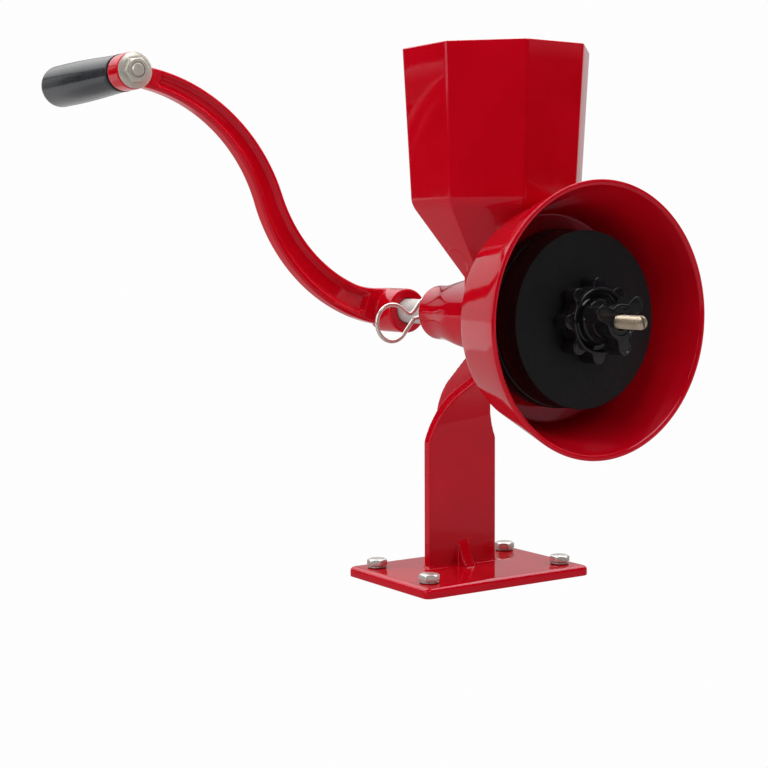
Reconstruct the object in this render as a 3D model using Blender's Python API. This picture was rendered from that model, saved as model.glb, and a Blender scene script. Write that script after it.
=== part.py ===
# Hand-cranked stone grain mill on a bolted base plate.
# World frame: metres, +Z up, origin at the centre of the base plate's underside.
# The main shaft runs along Y. The flour bell opens towards -Y and the crank is at +Y.

import math

import bmesh
import bpy
from mathutils import Matrix, Vector

# Units and general clearances
mm = 0.001
deg = math.pi / 180.0
gap = 0.3 * mm
weld_distance = 0.001 * mm
cut_overrun = 2.0 * mm
large_segments = 60
barrel_segments = 44
medium_segments = 32
small_segments = 20
hex_sides = 6
corner_steps = 3

# Base plate
plate_length = 119.2 * mm
plate_width = 81.2 * mm
plate_thickness = 6.0 * mm
plate_corner_radius = 4.0 * mm
plate_edge_radius = 2.4 * mm
bolt_inset_x = 11.7 * mm
bolt_inset_y = 14.0 * mm
bolt_hole_radius = 3.4 * mm

# Base bolts and washers
bolt_radius = 3.0 * mm
bolt_head_flats = 10.6 * mm
bolt_head_height = 3.6 * mm
bolt_washer_radius = 6.6 * mm
bolt_washer_thickness = 1.1 * mm
bolt_washer_bore = 3.3 * mm
head_chamfer = 0.7 * mm

# Leg
leg_front_y = 5.8 * mm
leg_thickness = 5.0 * mm
leg_width = 46.6 * mm
leg_bend_below_shaft = 74.8 * mm
leg_bend_radius = 36.0 * mm
leg_bend_angle = 50.0 * deg
leg_bend_steps = 7
leg_slope_run = 24.0 * mm
leg_tip_width = 6.2 * mm
web_thickness = 6.0 * mm
web_rear_y = 29.5 * mm
web_bend_below_shaft = 68.5 * mm
web_rear_radius = 37.8 * mm
web_rear_angle = 50.0 * deg
web_rear_steps = 7
web_slope_run = 40.0 * mm
web_front_run = 20.0 * mm
gusset_height = 14.0 * mm
gusset_reach = 8.0 * mm
gusset_curve_steps = 6

# Barrel casting and its rear shaft boss
shaft_height = 156.0 * mm
boss_rear_y = 27.1 * mm
boss_radius = 16.3 * mm
boss_edge_radius = 3.0 * mm
boss_front_y = 10.0 * mm
flare_arc_radius = 42.0 * mm
flare_steps = 5
barrel_radius = 20.5 * mm
barrel_bore_radius = 16.5 * mm
barrel_back_wall_y = -9.0 * mm
boss_bore_radius = 10.3 * mm
flange_radius = 42.0 * mm
flange_thickness = 7.0 * mm
flange_fillet = 3.0 * mm

# Shaft bushes
bush_wall = 2.2 * mm
bush_length = 12.0 * mm

# Octagonal hopper
hopper_overhang = 7.5 * mm
hopper_top_rise = 150.0 * mm
hopper_waist_rise = 63.2 * mm
hopper_neck_rise = 22.0 * mm
hopper_foot_rise = 8.0 * mm
hopper_top_half_x = 51.4 * mm
hopper_top_half_y = 51.9 * mm
hopper_corner_cut = 31.7 * mm
hopper_waist_share = 0.91
hopper_neck_share = 0.347
hopper_wall = 3.0 * mm
hopper_edge_radius = 3.4 * mm
hopper_edge_steps = 3
hopper_lip_radius = 0.9 * mm

# Flour bell
bell_depth = 44.3 * mm
bell_rim_radius = 74.6 * mm
bell_shoulder_run = 0.8 * mm
bell_shoulder_radius = 61.3 * mm
bell_wall = 3.0 * mm
bell_back_wall = 3.0 * mm
bell_floor_y = -74.0 * mm
bell_floor_fillet = 1.2 * mm
bell_shoulder_round = 6.0 * mm
bell_lip_round = 0.7 * mm

# Stones, holder plate and the screws behind them
holder_radius = 44.0 * mm
holder_thickness = 3.0 * mm
stone_radius = 48.0 * mm
fixed_stone_radius = 48.8 * mm
stone_thickness = 9.6 * mm
stone_edge_radius = 1.0 * mm
fixed_stone_eye = 17.2 * mm
running_gap = 0.5 * mm
disc_radius = 48.0 * mm
disc_thickness = 6.4 * mm
disc_edge_radius = 0.5 * mm
disc_hub_radius = 13.0 * mm
disc_hub_length = 14.8 * mm
disc_slot_depth = 6.6 * mm
clamp_screw_circle = 35.2 * mm
clamp_screw_radius = 2.5 * mm
clamp_head_flats = 8.0 * mm
clamp_head_height = 3.6 * mm
clamp_screw_count = 3
clamp_screw_start = 30.0 * deg

# Main shaft and what it carries
shaft_radius = 7.5 * mm
shaft_set_in = 1.4 * mm
shaft_length = 191.2 * mm
shaft_chamfer = 0.8 * mm
stud_radius = 3.95 * mm
stud_thread_depth = 12.6 * mm
stud_proud = 17.2 * mm
stud_chamfer = 0.9 * mm
stud_slot_width = 1.2 * mm
stud_slot_depth = 1.9 * mm
drive_pin_set_in = 3.2 * mm
drive_pin_radius = 2.4 * mm
drive_pin_length = 24.6 * mm
auger_front_clearance = 3.8 * mm
auger_sleeve_radius = 10.4 * mm
auger_flight_radius = 15.7 * mm
auger_flight_thickness = 3.8 * mm
auger_turns = 2.75
auger_steps_per_turn = 16
auger_end_clearance = 2.2 * mm
thrust_washer_radius = 12.6 * mm
thrust_washer_thickness = 1.4 * mm

# Hairpin clip
clip_wire_radius = 1.2 * mm
clip_loop_radius = 10.7 * mm
clip_loop_x = -33.8 * mm
clip_loop_drop = 5.9 * mm
clip_loop_start = -42.0 * deg
clip_loop_sweep = 256.0 * deg
clip_loop_steps = 24
clip_neck_x = -19.6 * mm
clip_neck_drop = 1.2 * mm
clip_bow_radius = 10.0 * mm
clip_bow_start = 150.0 * deg
clip_bow_end = 34.0 * deg
clip_bow_steps = 8
clip_tip_x = 13.5 * mm
clip_tip_rise = 9.0 * mm
clip_leg_end_x = 15.0 * mm
clip_leg_bend_x = -12.6 * mm
clip_curve_steps = 4
clip_wire_resolution = 2

# Crank arm
crank_reach_x = 176.7 * mm
crank_rise = 138.3 * mm
crank_outer_radius = 100.6 * mm
crank_outer_heading = 3.5 * deg
crank_hub_heading = 4.5 * deg
arm_end_drop = 1.8 * mm
crank_hub_radius = 13.8 * mm
crank_hub_proud = 0.3 * mm
crank_hub_length = 26.2 * mm
crank_hub_edge = 1.2 * mm
crank_bore_clearance = 0.6 * mm
crank_eye_radius = 10.5 * mm
crank_eye_proud = 2.3 * mm
crank_eye_length = 14.0 * mm
crank_eye_edge = 0.8 * mm
arm_set_back = 14.9 * mm
arm_thickness = 9.8 * mm
arm_width_at_hub = 20.6 * mm
arm_width_at_eye = 11.6 * mm
arm_edge_radius = 1.6 * mm
arm_recess_depth = 2.4 * mm
arm_recess_slope = 1.2 * mm
arm_rim_width = 2.2 * mm
arm_recess_from_hub = 34.0 * mm
arm_recess_from_eye = 18.0 * mm
arm_recess_ramp = 5.0 * mm
arm_steps = 34

# Crank fixing
key_width = 4.0 * mm
key_height = 4.0 * mm
key_length = 15.0 * mm
crank_washer_radius = 11.0 * mm
crank_washer_thickness = 2.0 * mm
crank_bolt_radius = 3.95 * mm
crank_bolt_flats = 13.0 * mm
crank_bolt_head_height = 5.3 * mm
crank_bolt_depth = 18.0 * mm

# Hand grip on its axle bolt
axle_radius = 3.9 * mm
axle_proud = 5.9 * mm
axle_tip_chamfer = 0.8 * mm
axle_head_radius = 6.4 * mm
axle_head_height = 4.6 * mm
nut_flange_radius = 10.2 * mm
nut_flange_thickness = 1.2 * mm
nut_hex_flats = 13.0 * mm
nut_hex_height = 3.6 * mm
nut_cone_radius = 7.6 * mm
grip_ring_radius = 10.7 * mm
grip_ring_thickness = 1.2 * mm
grip_near_radius = 10.5 * mm
grip_far_radius = 12.5 * mm
grip_length = 94.0 * mm
grip_near_round = 1.2 * mm
grip_far_round = 7.0 * mm
grip_head_pocket_radius = 7.6 * mm
grip_head_pocket_depth = 9.0 * mm

# Adjusting knob
star_lobes = 8
star_points_per_lobe = 8
star_tip_radius = 23.5 * mm
star_valley_radius = 18.2 * mm
star_lobe_power = 1.2
star_thickness = 10.6 * mm
star_edge_radius = 1.0 * mm
star_bead_radius = 17.9 * mm
star_bead_width = 1.2 * mm
star_bead_height = 1.4 * mm
star_dish_depth = 2.4 * mm
star_hub_radius = 12.6 * mm
star_hub_top_radius = 9.4 * mm
star_hub_height = 8.2 * mm
star_groove_radius = 11.4 * mm
star_phase = 0.0 * deg

# Lock knob
lock_lobes = 3
lock_points_per_lobe = 16
lock_tip_radius = 18.6 * mm
lock_waist_radius = 9.0 * mm
lock_lobe_power = 1.8
lock_thickness = 13.0 * mm
lock_edge_radius = 0.8 * mm
lock_dish_radius = 7.6 * mm
lock_dish_depth = 1.2 * mm
lock_cover_thickness = 3.0 * mm
lock_cover_clearance = 0.5 * mm
lock_phase = 160.0 * deg

# Threaded bushes in the two knobs
insert_wall = 2.4 * mm

# Heights that follow from the shaft's
shaft_centre = Vector((0.0, 0.0, shaft_height))
leg_straight_top = shaft_height - leg_bend_below_shaft
web_straight_top = shaft_height - web_bend_below_shaft
hopper_top_z = shaft_height + hopper_top_rise
hopper_waist_z = shaft_height + hopper_waist_rise
hopper_neck_z = shaft_height + hopper_neck_rise
hopper_foot_z = shaft_height + hopper_foot_rise

# Places along the shaft that follow from the sizes above
bell_back_y = bell_floor_y + bell_back_wall
bell_rim_y = bell_floor_y - bell_depth
bell_shoulder_y = bell_floor_y - bell_shoulder_run
hopper_centre_y = bell_back_y - hopper_overhang + hopper_top_half_y
flange_front_y = bell_back_y + gap
flange_rear_y = flange_front_y + flange_thickness
holder_rear_y = bell_floor_y - gap
holder_front_y = holder_rear_y - holder_thickness
fixed_stone_rear_y = holder_front_y - gap
fixed_stone_front_y = fixed_stone_rear_y - stone_thickness
turning_stone_rear_y = fixed_stone_front_y - running_gap
turning_stone_front_y = turning_stone_rear_y - stone_thickness
disc_rear_y = turning_stone_front_y - gap
disc_front_y = disc_rear_y - disc_thickness
disc_hub_rear_y = disc_rear_y + disc_hub_length
star_rear_y = disc_front_y - gap
star_face_y = star_rear_y - star_thickness
star_hub_front_y = star_face_y + star_dish_depth - star_hub_height
lock_rear_y = star_hub_front_y - gap
lock_front_y = lock_rear_y - lock_thickness
shaft_front_y = disc_front_y + shaft_set_in
shaft_rear_y = shaft_front_y + shaft_length
stud_root_y = shaft_front_y + stud_thread_depth - gap
stud_tip_y = lock_front_y - stud_proud
drive_pin_y = disc_hub_rear_y - drive_pin_set_in
auger_front_y = disc_hub_rear_y + auger_front_clearance
thrust_washer_front_y = boss_rear_y + gap
thrust_washer_rear_y = thrust_washer_front_y + thrust_washer_thickness
clip_y = thrust_washer_rear_y + gap + clip_wire_radius
crank_hub_rear_y = shaft_rear_y + crank_hub_proud
crank_hub_front_y = crank_hub_rear_y - crank_hub_length
arm_front_y = crank_hub_front_y + arm_set_back
crank_eye_front_y = arm_front_y - crank_eye_proud
crank_eye_rear_y = crank_eye_front_y + crank_eye_length
axle_front_y = crank_eye_front_y - axle_proud
grip_ring_front_y = crank_eye_rear_y + gap
grip_ring_rear_y = grip_ring_front_y + grip_ring_thickness
grip_near_y = grip_ring_rear_y + gap
grip_far_y = grip_near_y + grip_length
eye_centre = Vector((-crank_reach_x, 0.0, shaft_height + crank_rise))


# Materials
def make_material(name, colour, roughness, metallic):
    material = bpy.data.materials.new(name)
    material.use_nodes = True
    shader = material.node_tree.nodes["Principled BSDF"]
    shader.inputs["Base Color"].default_value = (*colour, 1.0)
    shader.inputs["Roughness"].default_value = roughness
    shader.inputs["Metallic"].default_value = metallic
    return material


red_enamel = (0.44, 0.004, 0.012)
black_plastic = (0.012, 0.012, 0.013)
stone_black = (0.022, 0.016, 0.016)
grip_grey = (0.045, 0.05, 0.056)
zinc_steel = (0.62, 0.61, 0.59)
shaft_grey = (0.55, 0.55, 0.51)
stud_steel = (0.62, 0.53, 0.42)
bronze = (0.50, 0.32, 0.14)
brass = (0.62, 0.46, 0.18)
cast_grey = (0.30, 0.30, 0.31)


# Mesh helpers
def link_object(name, bm, material):
    bmesh.ops.recalc_face_normals(bm, faces=bm.faces)
    mesh = bpy.data.meshes.new(name)
    bm.to_mesh(mesh)
    bm.free()
    mesh.shade_smooth()
    mesh.set_sharp_from_angle(angle=smooth_angle)
    if material is not None:
        mesh.materials.append(material)
    obj = bpy.data.objects.new(name, mesh)
    bpy.context.scene.collection.objects.link(obj)
    return obj


smooth_angle = 32.0 * deg


def make_part(name, bm, look, axis=None):
    """A finished piece; one that turns or slides hangs from the empty on its joint's axis."""
    obj = link_object(name, bm, make_material(name + "_finish", *look))
    hang_on_axis(obj, axis)
    return obj


def hang_on_axis(obj, axis):
    if axis is not None:
        obj.data.transform(Matrix.Translation(-axis_places[axis]))
        obj.parent = bpy.data.objects[axis]


def make_axis(name, place, parent=None):
    empty = bpy.data.objects.new(name, None)
    bpy.context.scene.collection.objects.link(empty)
    axis_places[name] = place
    empty.location = place
    if parent is not None:
        empty.location = place - axis_places[parent]
        empty.parent = bpy.data.objects[parent]


axis_places = {}


def make_cutter(name, bm):
    obj = link_object(name, bm, None)
    obj.display_type = "WIRE"
    obj.hide_render = True
    return obj


def combine(obj, other, operation):
    modifier = obj.modifiers.new(operation.lower() + "_" + other.name, "BOOLEAN")
    modifier.operation = operation
    modifier.solver = "EXACT"
    modifier.object = other


def arc_points(centre_a, centre_b, radius, start, end, steps):
    points = []
    for step in range(steps + 1):
        angle = start + (end - start) * step / steps
        points.append((centre_a + radius * math.cos(angle), centre_b + radius * math.sin(angle)))
    return points


def turned(profile, segments, centre=None):
    """A closed profile of (y, radius) pairs, spun about the Y axis through a centre."""
    centre = centre or shaft_centre
    bm = bmesh.new()
    verts = [bm.verts.new((radius, y, 0.0)) for y, radius in profile]
    edges = [bm.edges.new((verts[i - 1], verts[i])) for i in range(len(verts))]
    bmesh.ops.spin(
        bm,
        geom=verts + edges,
        cent=(0.0, 0.0, 0.0),
        axis=(0.0, 1.0, 0.0),
        angle=2.0 * math.pi,
        steps=segments,
        use_merge=True,
    )
    bmesh.ops.remove_doubles(bm, verts=bm.verts, dist=weld_distance)
    bmesh.ops.translate(bm, verts=bm.verts, vec=centre)
    return bm


def ring_of(y_near, y_far, bore, radius, edge=0.0):
    """The profile of a plain ring or disc, with an optional chamfer on its outer edges."""
    low, high = min(y_near, y_far), max(y_near, y_far)
    if edge > 0.0:
        outer = [(low, radius - edge), (low + edge, radius), (high - edge, radius), (high, radius - edge)]
    else:
        outer = [(low, radius), (high, radius)]
    return [(low, bore)] + outer + [(high, bore)]


def loft(rings, closed=False):
    """Bridges rings with equal numbers of points, and caps the ends or joins last to first."""
    bm = bmesh.new()
    rows = [[bm.verts.new(point) for point in ring] for ring in rings]
    count = len(rows[0])
    pairs = list(zip(rows, rows[1:]))
    if closed:
        pairs.append((rows[-1], rows[0]))
    else:
        bm.faces.new(rows[0])
        bm.faces.new(rows[-1])
    for low, high in pairs:
        for i in range(count):
            j = (i + 1) % count
            bm.faces.new((low[i], low[j], high[j], high[i]))
    return bm


def cylinder_between(start, end, radius, segments):
    """A plain cylinder between two points."""
    start, end = Vector(start), Vector(end)
    direction = end - start
    bm = bmesh.new()
    bmesh.ops.create_cone(
        bm,
        cap_ends=True,
        segments=segments,
        radius1=radius,
        radius2=radius,
        depth=direction.length,
        matrix=Matrix.Translation((start + end) / 2.0) @ direction.to_track_quat("Z", "Y").to_matrix().to_4x4(),
    )
    return bm


def box_between(low, high):
    bm = bmesh.new()
    low, high = Vector(low), Vector(high)
    size = high - low
    matrix = Matrix.Translation((low + high) / 2.0) @ Matrix.Diagonal((size.x, size.y, size.z, 1.0))
    bmesh.ops.create_cube(bm, size=1.0, matrix=matrix)
    return bm


def merged(meshes):
    """One mesh that holds several separate closed bodies, for a cutter."""
    whole = bmesh.new()
    for bm in meshes:
        mesh = bpy.data.meshes.new("piece")
        bm.to_mesh(mesh)
        bm.free()
        whole.from_mesh(mesh)
        bpy.data.meshes.remove(mesh)
    return whole


def hex_prism_rings(flats, y_base, y_top, chamfer, centre):
    """Rings of a hexagonal head whose top edge is chamfered, along Y."""
    corner = flats / math.sqrt(3.0)
    sign = 1.0 if y_top > y_base else -1.0
    stages = [(y_base, corner), (y_top - sign * chamfer, corner), (y_top, corner - chamfer)]
    rings = []
    for y, radius in stages:
        ring = []
        for side in range(hex_sides):
            angle = 2.0 * math.pi * side / hex_sides
            ring.append((centre.x + radius * math.cos(angle), y, centre.z + radius * math.sin(angle)))
        rings.append(ring)
    return rings


# Base plate
def rounded_rectangle(half_x, half_y, radius, z):
    points = []
    corners = [(1, 1), (-1, 1), (-1, -1), (1, -1)]
    for index, (sign_x, sign_y) in enumerate(corners):
        centre_x = sign_x * (half_x - radius)
        centre_y = sign_y * (half_y - radius)
        start_angle = index * math.pi / 2.0
        end_angle = start_angle + math.pi / 2.0
        for x, y in arc_points(centre_x, centre_y, radius, start_angle, end_angle, corner_steps):
            points.append((x, y, z))
    return points


def build_base_plate():
    rings = [rounded_rectangle(plate_length / 2.0, plate_width / 2.0, plate_corner_radius, 0.0)]
    for step in range(corner_steps + 1):
        angle = math.pi / 2.0 * step / corner_steps
        inset = plate_edge_radius * (1.0 - math.cos(angle))
        z = plate_thickness - plate_edge_radius * (1.0 - math.sin(angle))
        half_x = plate_length / 2.0 - inset
        half_y = plate_width / 2.0 - inset
        rings.append(rounded_rectangle(half_x, half_y, plate_corner_radius - inset, z))
    plate = make_part("base_plate", loft(rings), (red_enamel, 0.16, 0.0))
    holes = []
    for x, y in bolt_places():
        low = (x, y, -cut_overrun)
        high = (x, y, plate_thickness + cut_overrun)
        holes.append(cylinder_between(low, high, bolt_hole_radius, small_segments))
    combine(plate, make_cutter("plate_holes", merged(holes)), "DIFFERENCE")


def bolt_places():
    half_x = plate_length / 2.0 - bolt_inset_x
    half_y = plate_width / 2.0 - bolt_inset_y
    return [(-half_x, -half_y), (half_x, -half_y), (half_x, half_y), (-half_x, half_y)]


def build_base_bolts():
    washer_low = plate_thickness + gap
    washer_high = washer_low + bolt_washer_thickness
    head_low = washer_high + gap
    head_high = head_low + bolt_head_height
    corner = bolt_head_flats / math.sqrt(3.0)
    turn_shares = (0.1, 0.55, 0.3, 0.8)
    for index, (x, y) in enumerate(bolt_places()):
        turn = turn_shares[index] * 2.0 * math.pi / hex_sides
        stages = [(gap, bolt_radius), (head_low, bolt_radius), (head_low, corner)]
        stages += [(head_high - head_chamfer, corner), (head_high, corner - head_chamfer)]
        rings = []
        for z, radius in stages:
            sides = [turn + 2.0 * math.pi * side / hex_sides for side in range(hex_sides)]
            rings.append([(x + radius * math.cos(a), y + radius * math.sin(a), z) for a in sides])
        make_part(f"base_bolt_{index + 1}", loft(rings), (zinc_steel, 0.25, 1.0))
        stages = [
            (bolt_washer_bore, washer_low),
            (bolt_washer_radius, washer_low),
            (bolt_washer_radius, washer_high),
            (bolt_washer_bore, washer_high),
        ]
        rings = []
        for radius, z in stages:
            angles = [2.0 * math.pi * side / small_segments for side in range(small_segments)]
            rings.append([(x + radius * math.cos(a), y + radius * math.sin(a), z) for a in angles])
        make_part(f"base_washer_{index + 1}", loft(rings, closed=True), (zinc_steel, 0.3, 1.0))


# Leg
def leg_flange_path():
    """Stations (y, z, lean, share) on the flange's front face: upright, bent forward, then sloping."""
    stations = [(leg_front_y, plate_thickness + gap, 0.0, 0.0)]
    arc_run = leg_bend_radius * leg_bend_angle
    total = arc_run + leg_slope_run
    for step in range(leg_bend_steps + 1):
        lean = leg_bend_angle * step / leg_bend_steps
        y = leg_front_y - leg_bend_radius * (1.0 - math.cos(lean))
        z = leg_straight_top + leg_bend_radius * math.sin(lean)
        stations.append((y, z, lean, leg_bend_radius * lean / total))
    y, z, lean, share = stations[-1]
    stations.append((y - leg_slope_run * math.sin(lean), z + leg_slope_run * math.cos(lean), lean, 1.0))
    return stations


def leg_flange_rings():
    """Sections of the front flange, which narrows as it bends forward."""
    rings = []
    for y, z, lean, share in leg_flange_path():
        half_width = (leg_width + (leg_tip_width - leg_width) * share) / 2.0
        back_y = y + leg_thickness * math.cos(lean)
        back_z = z + leg_thickness * math.sin(lean)
        rings.append(
            [(-half_width, y, z), (half_width, y, z), (half_width, back_y, back_z), (-half_width, back_y, back_z)]
        )
    return rings


def plate_in_yz(outline, half_thickness):
    rings = [[(side * half_thickness, y, z) for y, z in outline] for side in (-1.0, 1.0)]
    return loft(rings)


def web_outline():
    """Side view of the web: foot, curved rear edge, sloping end in the barrel, flange's middle."""
    inside_y = leg_front_y + leg_thickness / 2.0
    points = [(inside_y, plate_thickness + gap), (web_rear_y, plate_thickness + gap)]
    centre_y = web_rear_y - web_rear_radius
    points += arc_points(centre_y, web_straight_top, web_rear_radius, 0.0, web_rear_angle, web_rear_steps)
    y, z = points[-1]
    points.append((y - web_slope_run * math.sin(web_rear_angle), z + web_slope_run * math.cos(web_rear_angle)))
    y, z, lean, share = leg_flange_path()[-1]
    points.append((y - web_front_run * math.sin(lean), z + web_front_run * math.cos(lean)))
    for y, z, lean, share in reversed(leg_flange_path()[1:]):
        half = leg_thickness / 2.0
        points.append((y + half * math.cos(lean), z + half * math.sin(lean)))
    return points


def gusset_outline():
    bottom = plate_thickness + gap
    inside_y = leg_front_y + leg_thickness / 2.0
    points = [(inside_y, bottom), (inside_y, bottom + gusset_height), (leg_front_y, bottom + gusset_height)]
    for step in range(1, gusset_curve_steps):
        angle = math.pi / 2.0 * step / gusset_curve_steps
        y = leg_front_y - gusset_reach * (1.0 - math.cos(angle))
        z = bottom + gusset_height * (1.0 - math.sin(angle))
        points.append((y, z))
    points.append((leg_front_y - gusset_reach, bottom))
    return points


def build_leg():
    leg = make_part("leg", loft(leg_flange_rings()), (red_enamel, 0.16, 0.0))
    half = web_thickness / 2.0
    combine(leg, make_cutter("leg_web", plate_in_yz(web_outline(), half)), "UNION")
    combine(leg, make_cutter("leg_gusset", plate_in_yz(gusset_outline(), half)), "UNION")
    outline = [(y, radius + gap) for y, radius in barrel_outline()]
    outline[0] = (outline[0][0] + cut_overrun, outline[0][1])
    barrel_space = turned([(outline[0][0], 0.0)] + outline + [(outline[-1][0], 0.0)], large_segments)
    combine(leg, make_cutter("leg_barrel_seat", barrel_space), "DIFFERENCE")


# Barrel casting
def barrel_outline():
    """Outer side of the barrel, from the boss's rear face forward to the flange's front face."""
    points = [(boss_rear_y, boss_radius - boss_edge_radius)]
    edge_y = boss_rear_y - boss_edge_radius
    edge_radius = boss_radius - boss_edge_radius
    points += arc_points(edge_y, edge_radius, boss_edge_radius, 0.0, math.pi / 2.0, corner_steps)[1:]
    flare_turn = math.acos(1.0 - (barrel_radius - boss_radius) / flare_arc_radius)
    for step in range(flare_steps + 1):
        turn = flare_turn * step / flare_steps
        radius = boss_radius + flare_arc_radius * (1.0 - math.cos(turn))
        points.append((boss_front_y - flare_arc_radius * math.sin(turn), radius))
    fillet_y = flange_rear_y + flange_fillet
    fillet_radius = barrel_radius + flange_fillet
    points += arc_points(fillet_y, fillet_radius, flange_fillet, -math.pi / 2.0, -math.pi, corner_steps)
    points += [(flange_rear_y, flange_radius), (flange_front_y, flange_radius)]
    return points


def clamp_screw_places():
    places = []
    for index in range(clamp_screw_count):
        angle = clamp_screw_start + 2.0 * math.pi * index / clamp_screw_count
        x = clamp_screw_circle * math.cos(angle)
        z = shaft_height + clamp_screw_circle * math.sin(angle)
        places.append(Vector((x, 0.0, z)))
    return places


def clamp_screw_holes():
    holes = []
    for place in clamp_screw_places():
        start = (place.x, fixed_stone_rear_y + gap / 2.0, place.z)
        end = (place.x, flange_rear_y + cut_overrun, place.z)
        holes.append(cylinder_between(start, end, clamp_screw_radius + gap, small_segments))
    return holes


def build_barrel():
    profile = barrel_outline()
    profile += [(flange_front_y, barrel_bore_radius), (barrel_back_wall_y, barrel_bore_radius)]
    profile += [(barrel_back_wall_y, boss_bore_radius), (boss_rear_y, boss_bore_radius)]
    barrel = make_part("mill_barrel", turned(profile, barrel_segments), (red_enamel, 0.16, 0.0))
    half_x, half_y, cut = octagon_sizes(hopper_neck_share, hopper_wall)
    throat_low = shaft_height + barrel_bore_radius / 2.0
    throat_high = shaft_height + barrel_radius + cut_overrun
    rings = [octagon(half_x, half_y, cut, z) for z in (throat_low, throat_high)]
    combine(barrel, make_cutter("barrel_throat", loft(rings)), "DIFFERENCE")
    combine(barrel, make_cutter("barrel_screw_holes", merged(clamp_screw_holes())), "DIFFERENCE")


def build_bushes():
    inner = shaft_radius + gap
    outer = min(inner + bush_wall, boss_bore_radius - gap)
    rear_start = boss_rear_y - bush_length
    front_end = barrel_back_wall_y + bush_length
    rear = turned(ring_of(rear_start, boss_rear_y, inner, outer), medium_segments)
    front = turned(ring_of(barrel_back_wall_y, front_end, inner, outer), medium_segments)
    make_part("rear_bush", rear, (bronze, 0.35, 1.0))
    make_part("inner_bush", front, (bronze, 0.35, 1.0))


# Hopper
def octagon_sizes(share, inset):
    """Half sizes and corner cut of the hopper's octagon at a share of its top, moved in by an inset."""
    half_x = hopper_top_half_x * share - inset
    half_y = hopper_top_half_y * share - inset
    cut = hopper_corner_cut * share - inset * (2.0 - math.sqrt(2.0))
    return half_x, half_y, cut


def octagon(half_x, half_y, cut, z, edge_radius=None):
    """A ring of the octagon with rounded upright edges, or with sharp ones where no radius is given."""
    corners = [(half_x, half_y - cut), (half_x - cut, half_y), (cut - half_x, half_y), (-half_x, half_y - cut)]
    corners += [(-half_x, cut - half_y), (cut - half_x, -half_y), (half_x - cut, -half_y), (half_x, cut - half_y)]
    count = len(corners)
    points = []
    for index, (x, y) in enumerate(corners):
        if edge_radius is None:
            points.append((x, hopper_centre_y + y, z))
            continue
        here = Vector((x, y))
        before = (Vector(corners[index - 1]) - here).normalized()
        after = (Vector(corners[(index + 1) % count]) - here).normalized()
        half_angle = before.angle(after) / 2.0
        trim = edge_radius / math.tan(half_angle)
        centre = here + (before + after).normalized() * edge_radius / math.sin(half_angle)
        start, end = here + before * trim - centre, here + after * trim - centre
        for step in range(hopper_edge_steps + 1):
            direction = start.lerp(end, step / hopper_edge_steps).normalized() * edge_radius
            spot = centre + direction
            points.append((spot.x, hopper_centre_y + spot.y, z))
    return points


def build_hopper():
    neck_share = hopper_neck_share
    top, waist, neck, foot = hopper_top_z, hopper_waist_z, hopper_neck_z, hopper_foot_z
    lip = hopper_lip_radius
    outer_stages = [
        (foot, neck_share, 0.0),
        (neck, neck_share, 0.0),
        (waist, hopper_waist_share, 0.0),
        (top - lip, 1.0, 0.0),
        (top, 1.0, lip),
    ]
    inner_stages = [
        (top, 1.0, hopper_wall - lip),
        (top - lip, 1.0, hopper_wall),
        (waist, hopper_waist_share, hopper_wall),
        (neck, neck_share, hopper_wall),
        (foot, neck_share, hopper_wall),
    ]
    rings = []
    for z, share, inset in outer_stages + inner_stages:
        half_x, half_y, cut = octagon_sizes(share, inset)
        edge_radius = hopper_edge_radius * share
        rings.append(octagon(half_x, half_y, cut, z, edge_radius))
    hopper = make_part("hopper", loft(rings, closed=True), (red_enamel, 0.16, 0.0))
    start_y = hopper_centre_y - hopper_top_half_y
    end_y = hopper_centre_y + hopper_top_half_y
    seat = turned([(start_y, 0.0), (start_y, barrel_radius + gap), (end_y, barrel_radius + gap), (end_y, 0.0)],
                  large_segments)
    combine(hopper, make_cutter("hopper_saddle", seat), "DIFFERENCE")


# Flour bell
def bell_profile():
    slope = (bell_rim_radius - bell_shoulder_radius) / (bell_shoulder_y - bell_rim_y)
    along = math.sqrt(1.0 + slope * slope)

    def cone_radius(y, inset):
        return bell_rim_radius + slope * (bell_rim_y - y) - inset * along

    lean = math.atan(slope)
    round_y = bell_back_y - bell_shoulder_round
    round_radius = cone_radius(round_y, bell_shoulder_round)
    lip = bell_lip_round
    points = arc_points(round_y, round_radius, bell_shoulder_round, 0.0, math.pi / 2.0 - lean, corner_steps)
    lip_y = bell_rim_y + lip
    points += arc_points(lip_y, cone_radius(lip_y, lip), lip, math.pi / 2.0 - lean, math.pi, corner_steps)
    points += [(bell_rim_y, cone_radius(bell_rim_y, bell_wall - lip))]
    points += [(lip_y, cone_radius(lip_y, bell_wall))]
    fillet = bell_floor_fillet
    fillet_y = bell_floor_y - fillet
    fillet_radius = cone_radius(fillet_y, bell_wall + fillet)
    points += arc_points(fillet_y, fillet_radius, fillet, math.pi / 2.0 - lean, 0.0, corner_steps)
    hole = barrel_bore_radius
    points += [(bell_floor_y, hole), (bell_back_y, hole)]
    return points


def build_bell():
    bell = make_part("flour_bell", turned(bell_profile(), large_segments), (red_enamel, 0.16, 0.0))
    combine(bell, make_cutter("bell_screw_holes", merged(clamp_screw_holes())), "DIFFERENCE")


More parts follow.
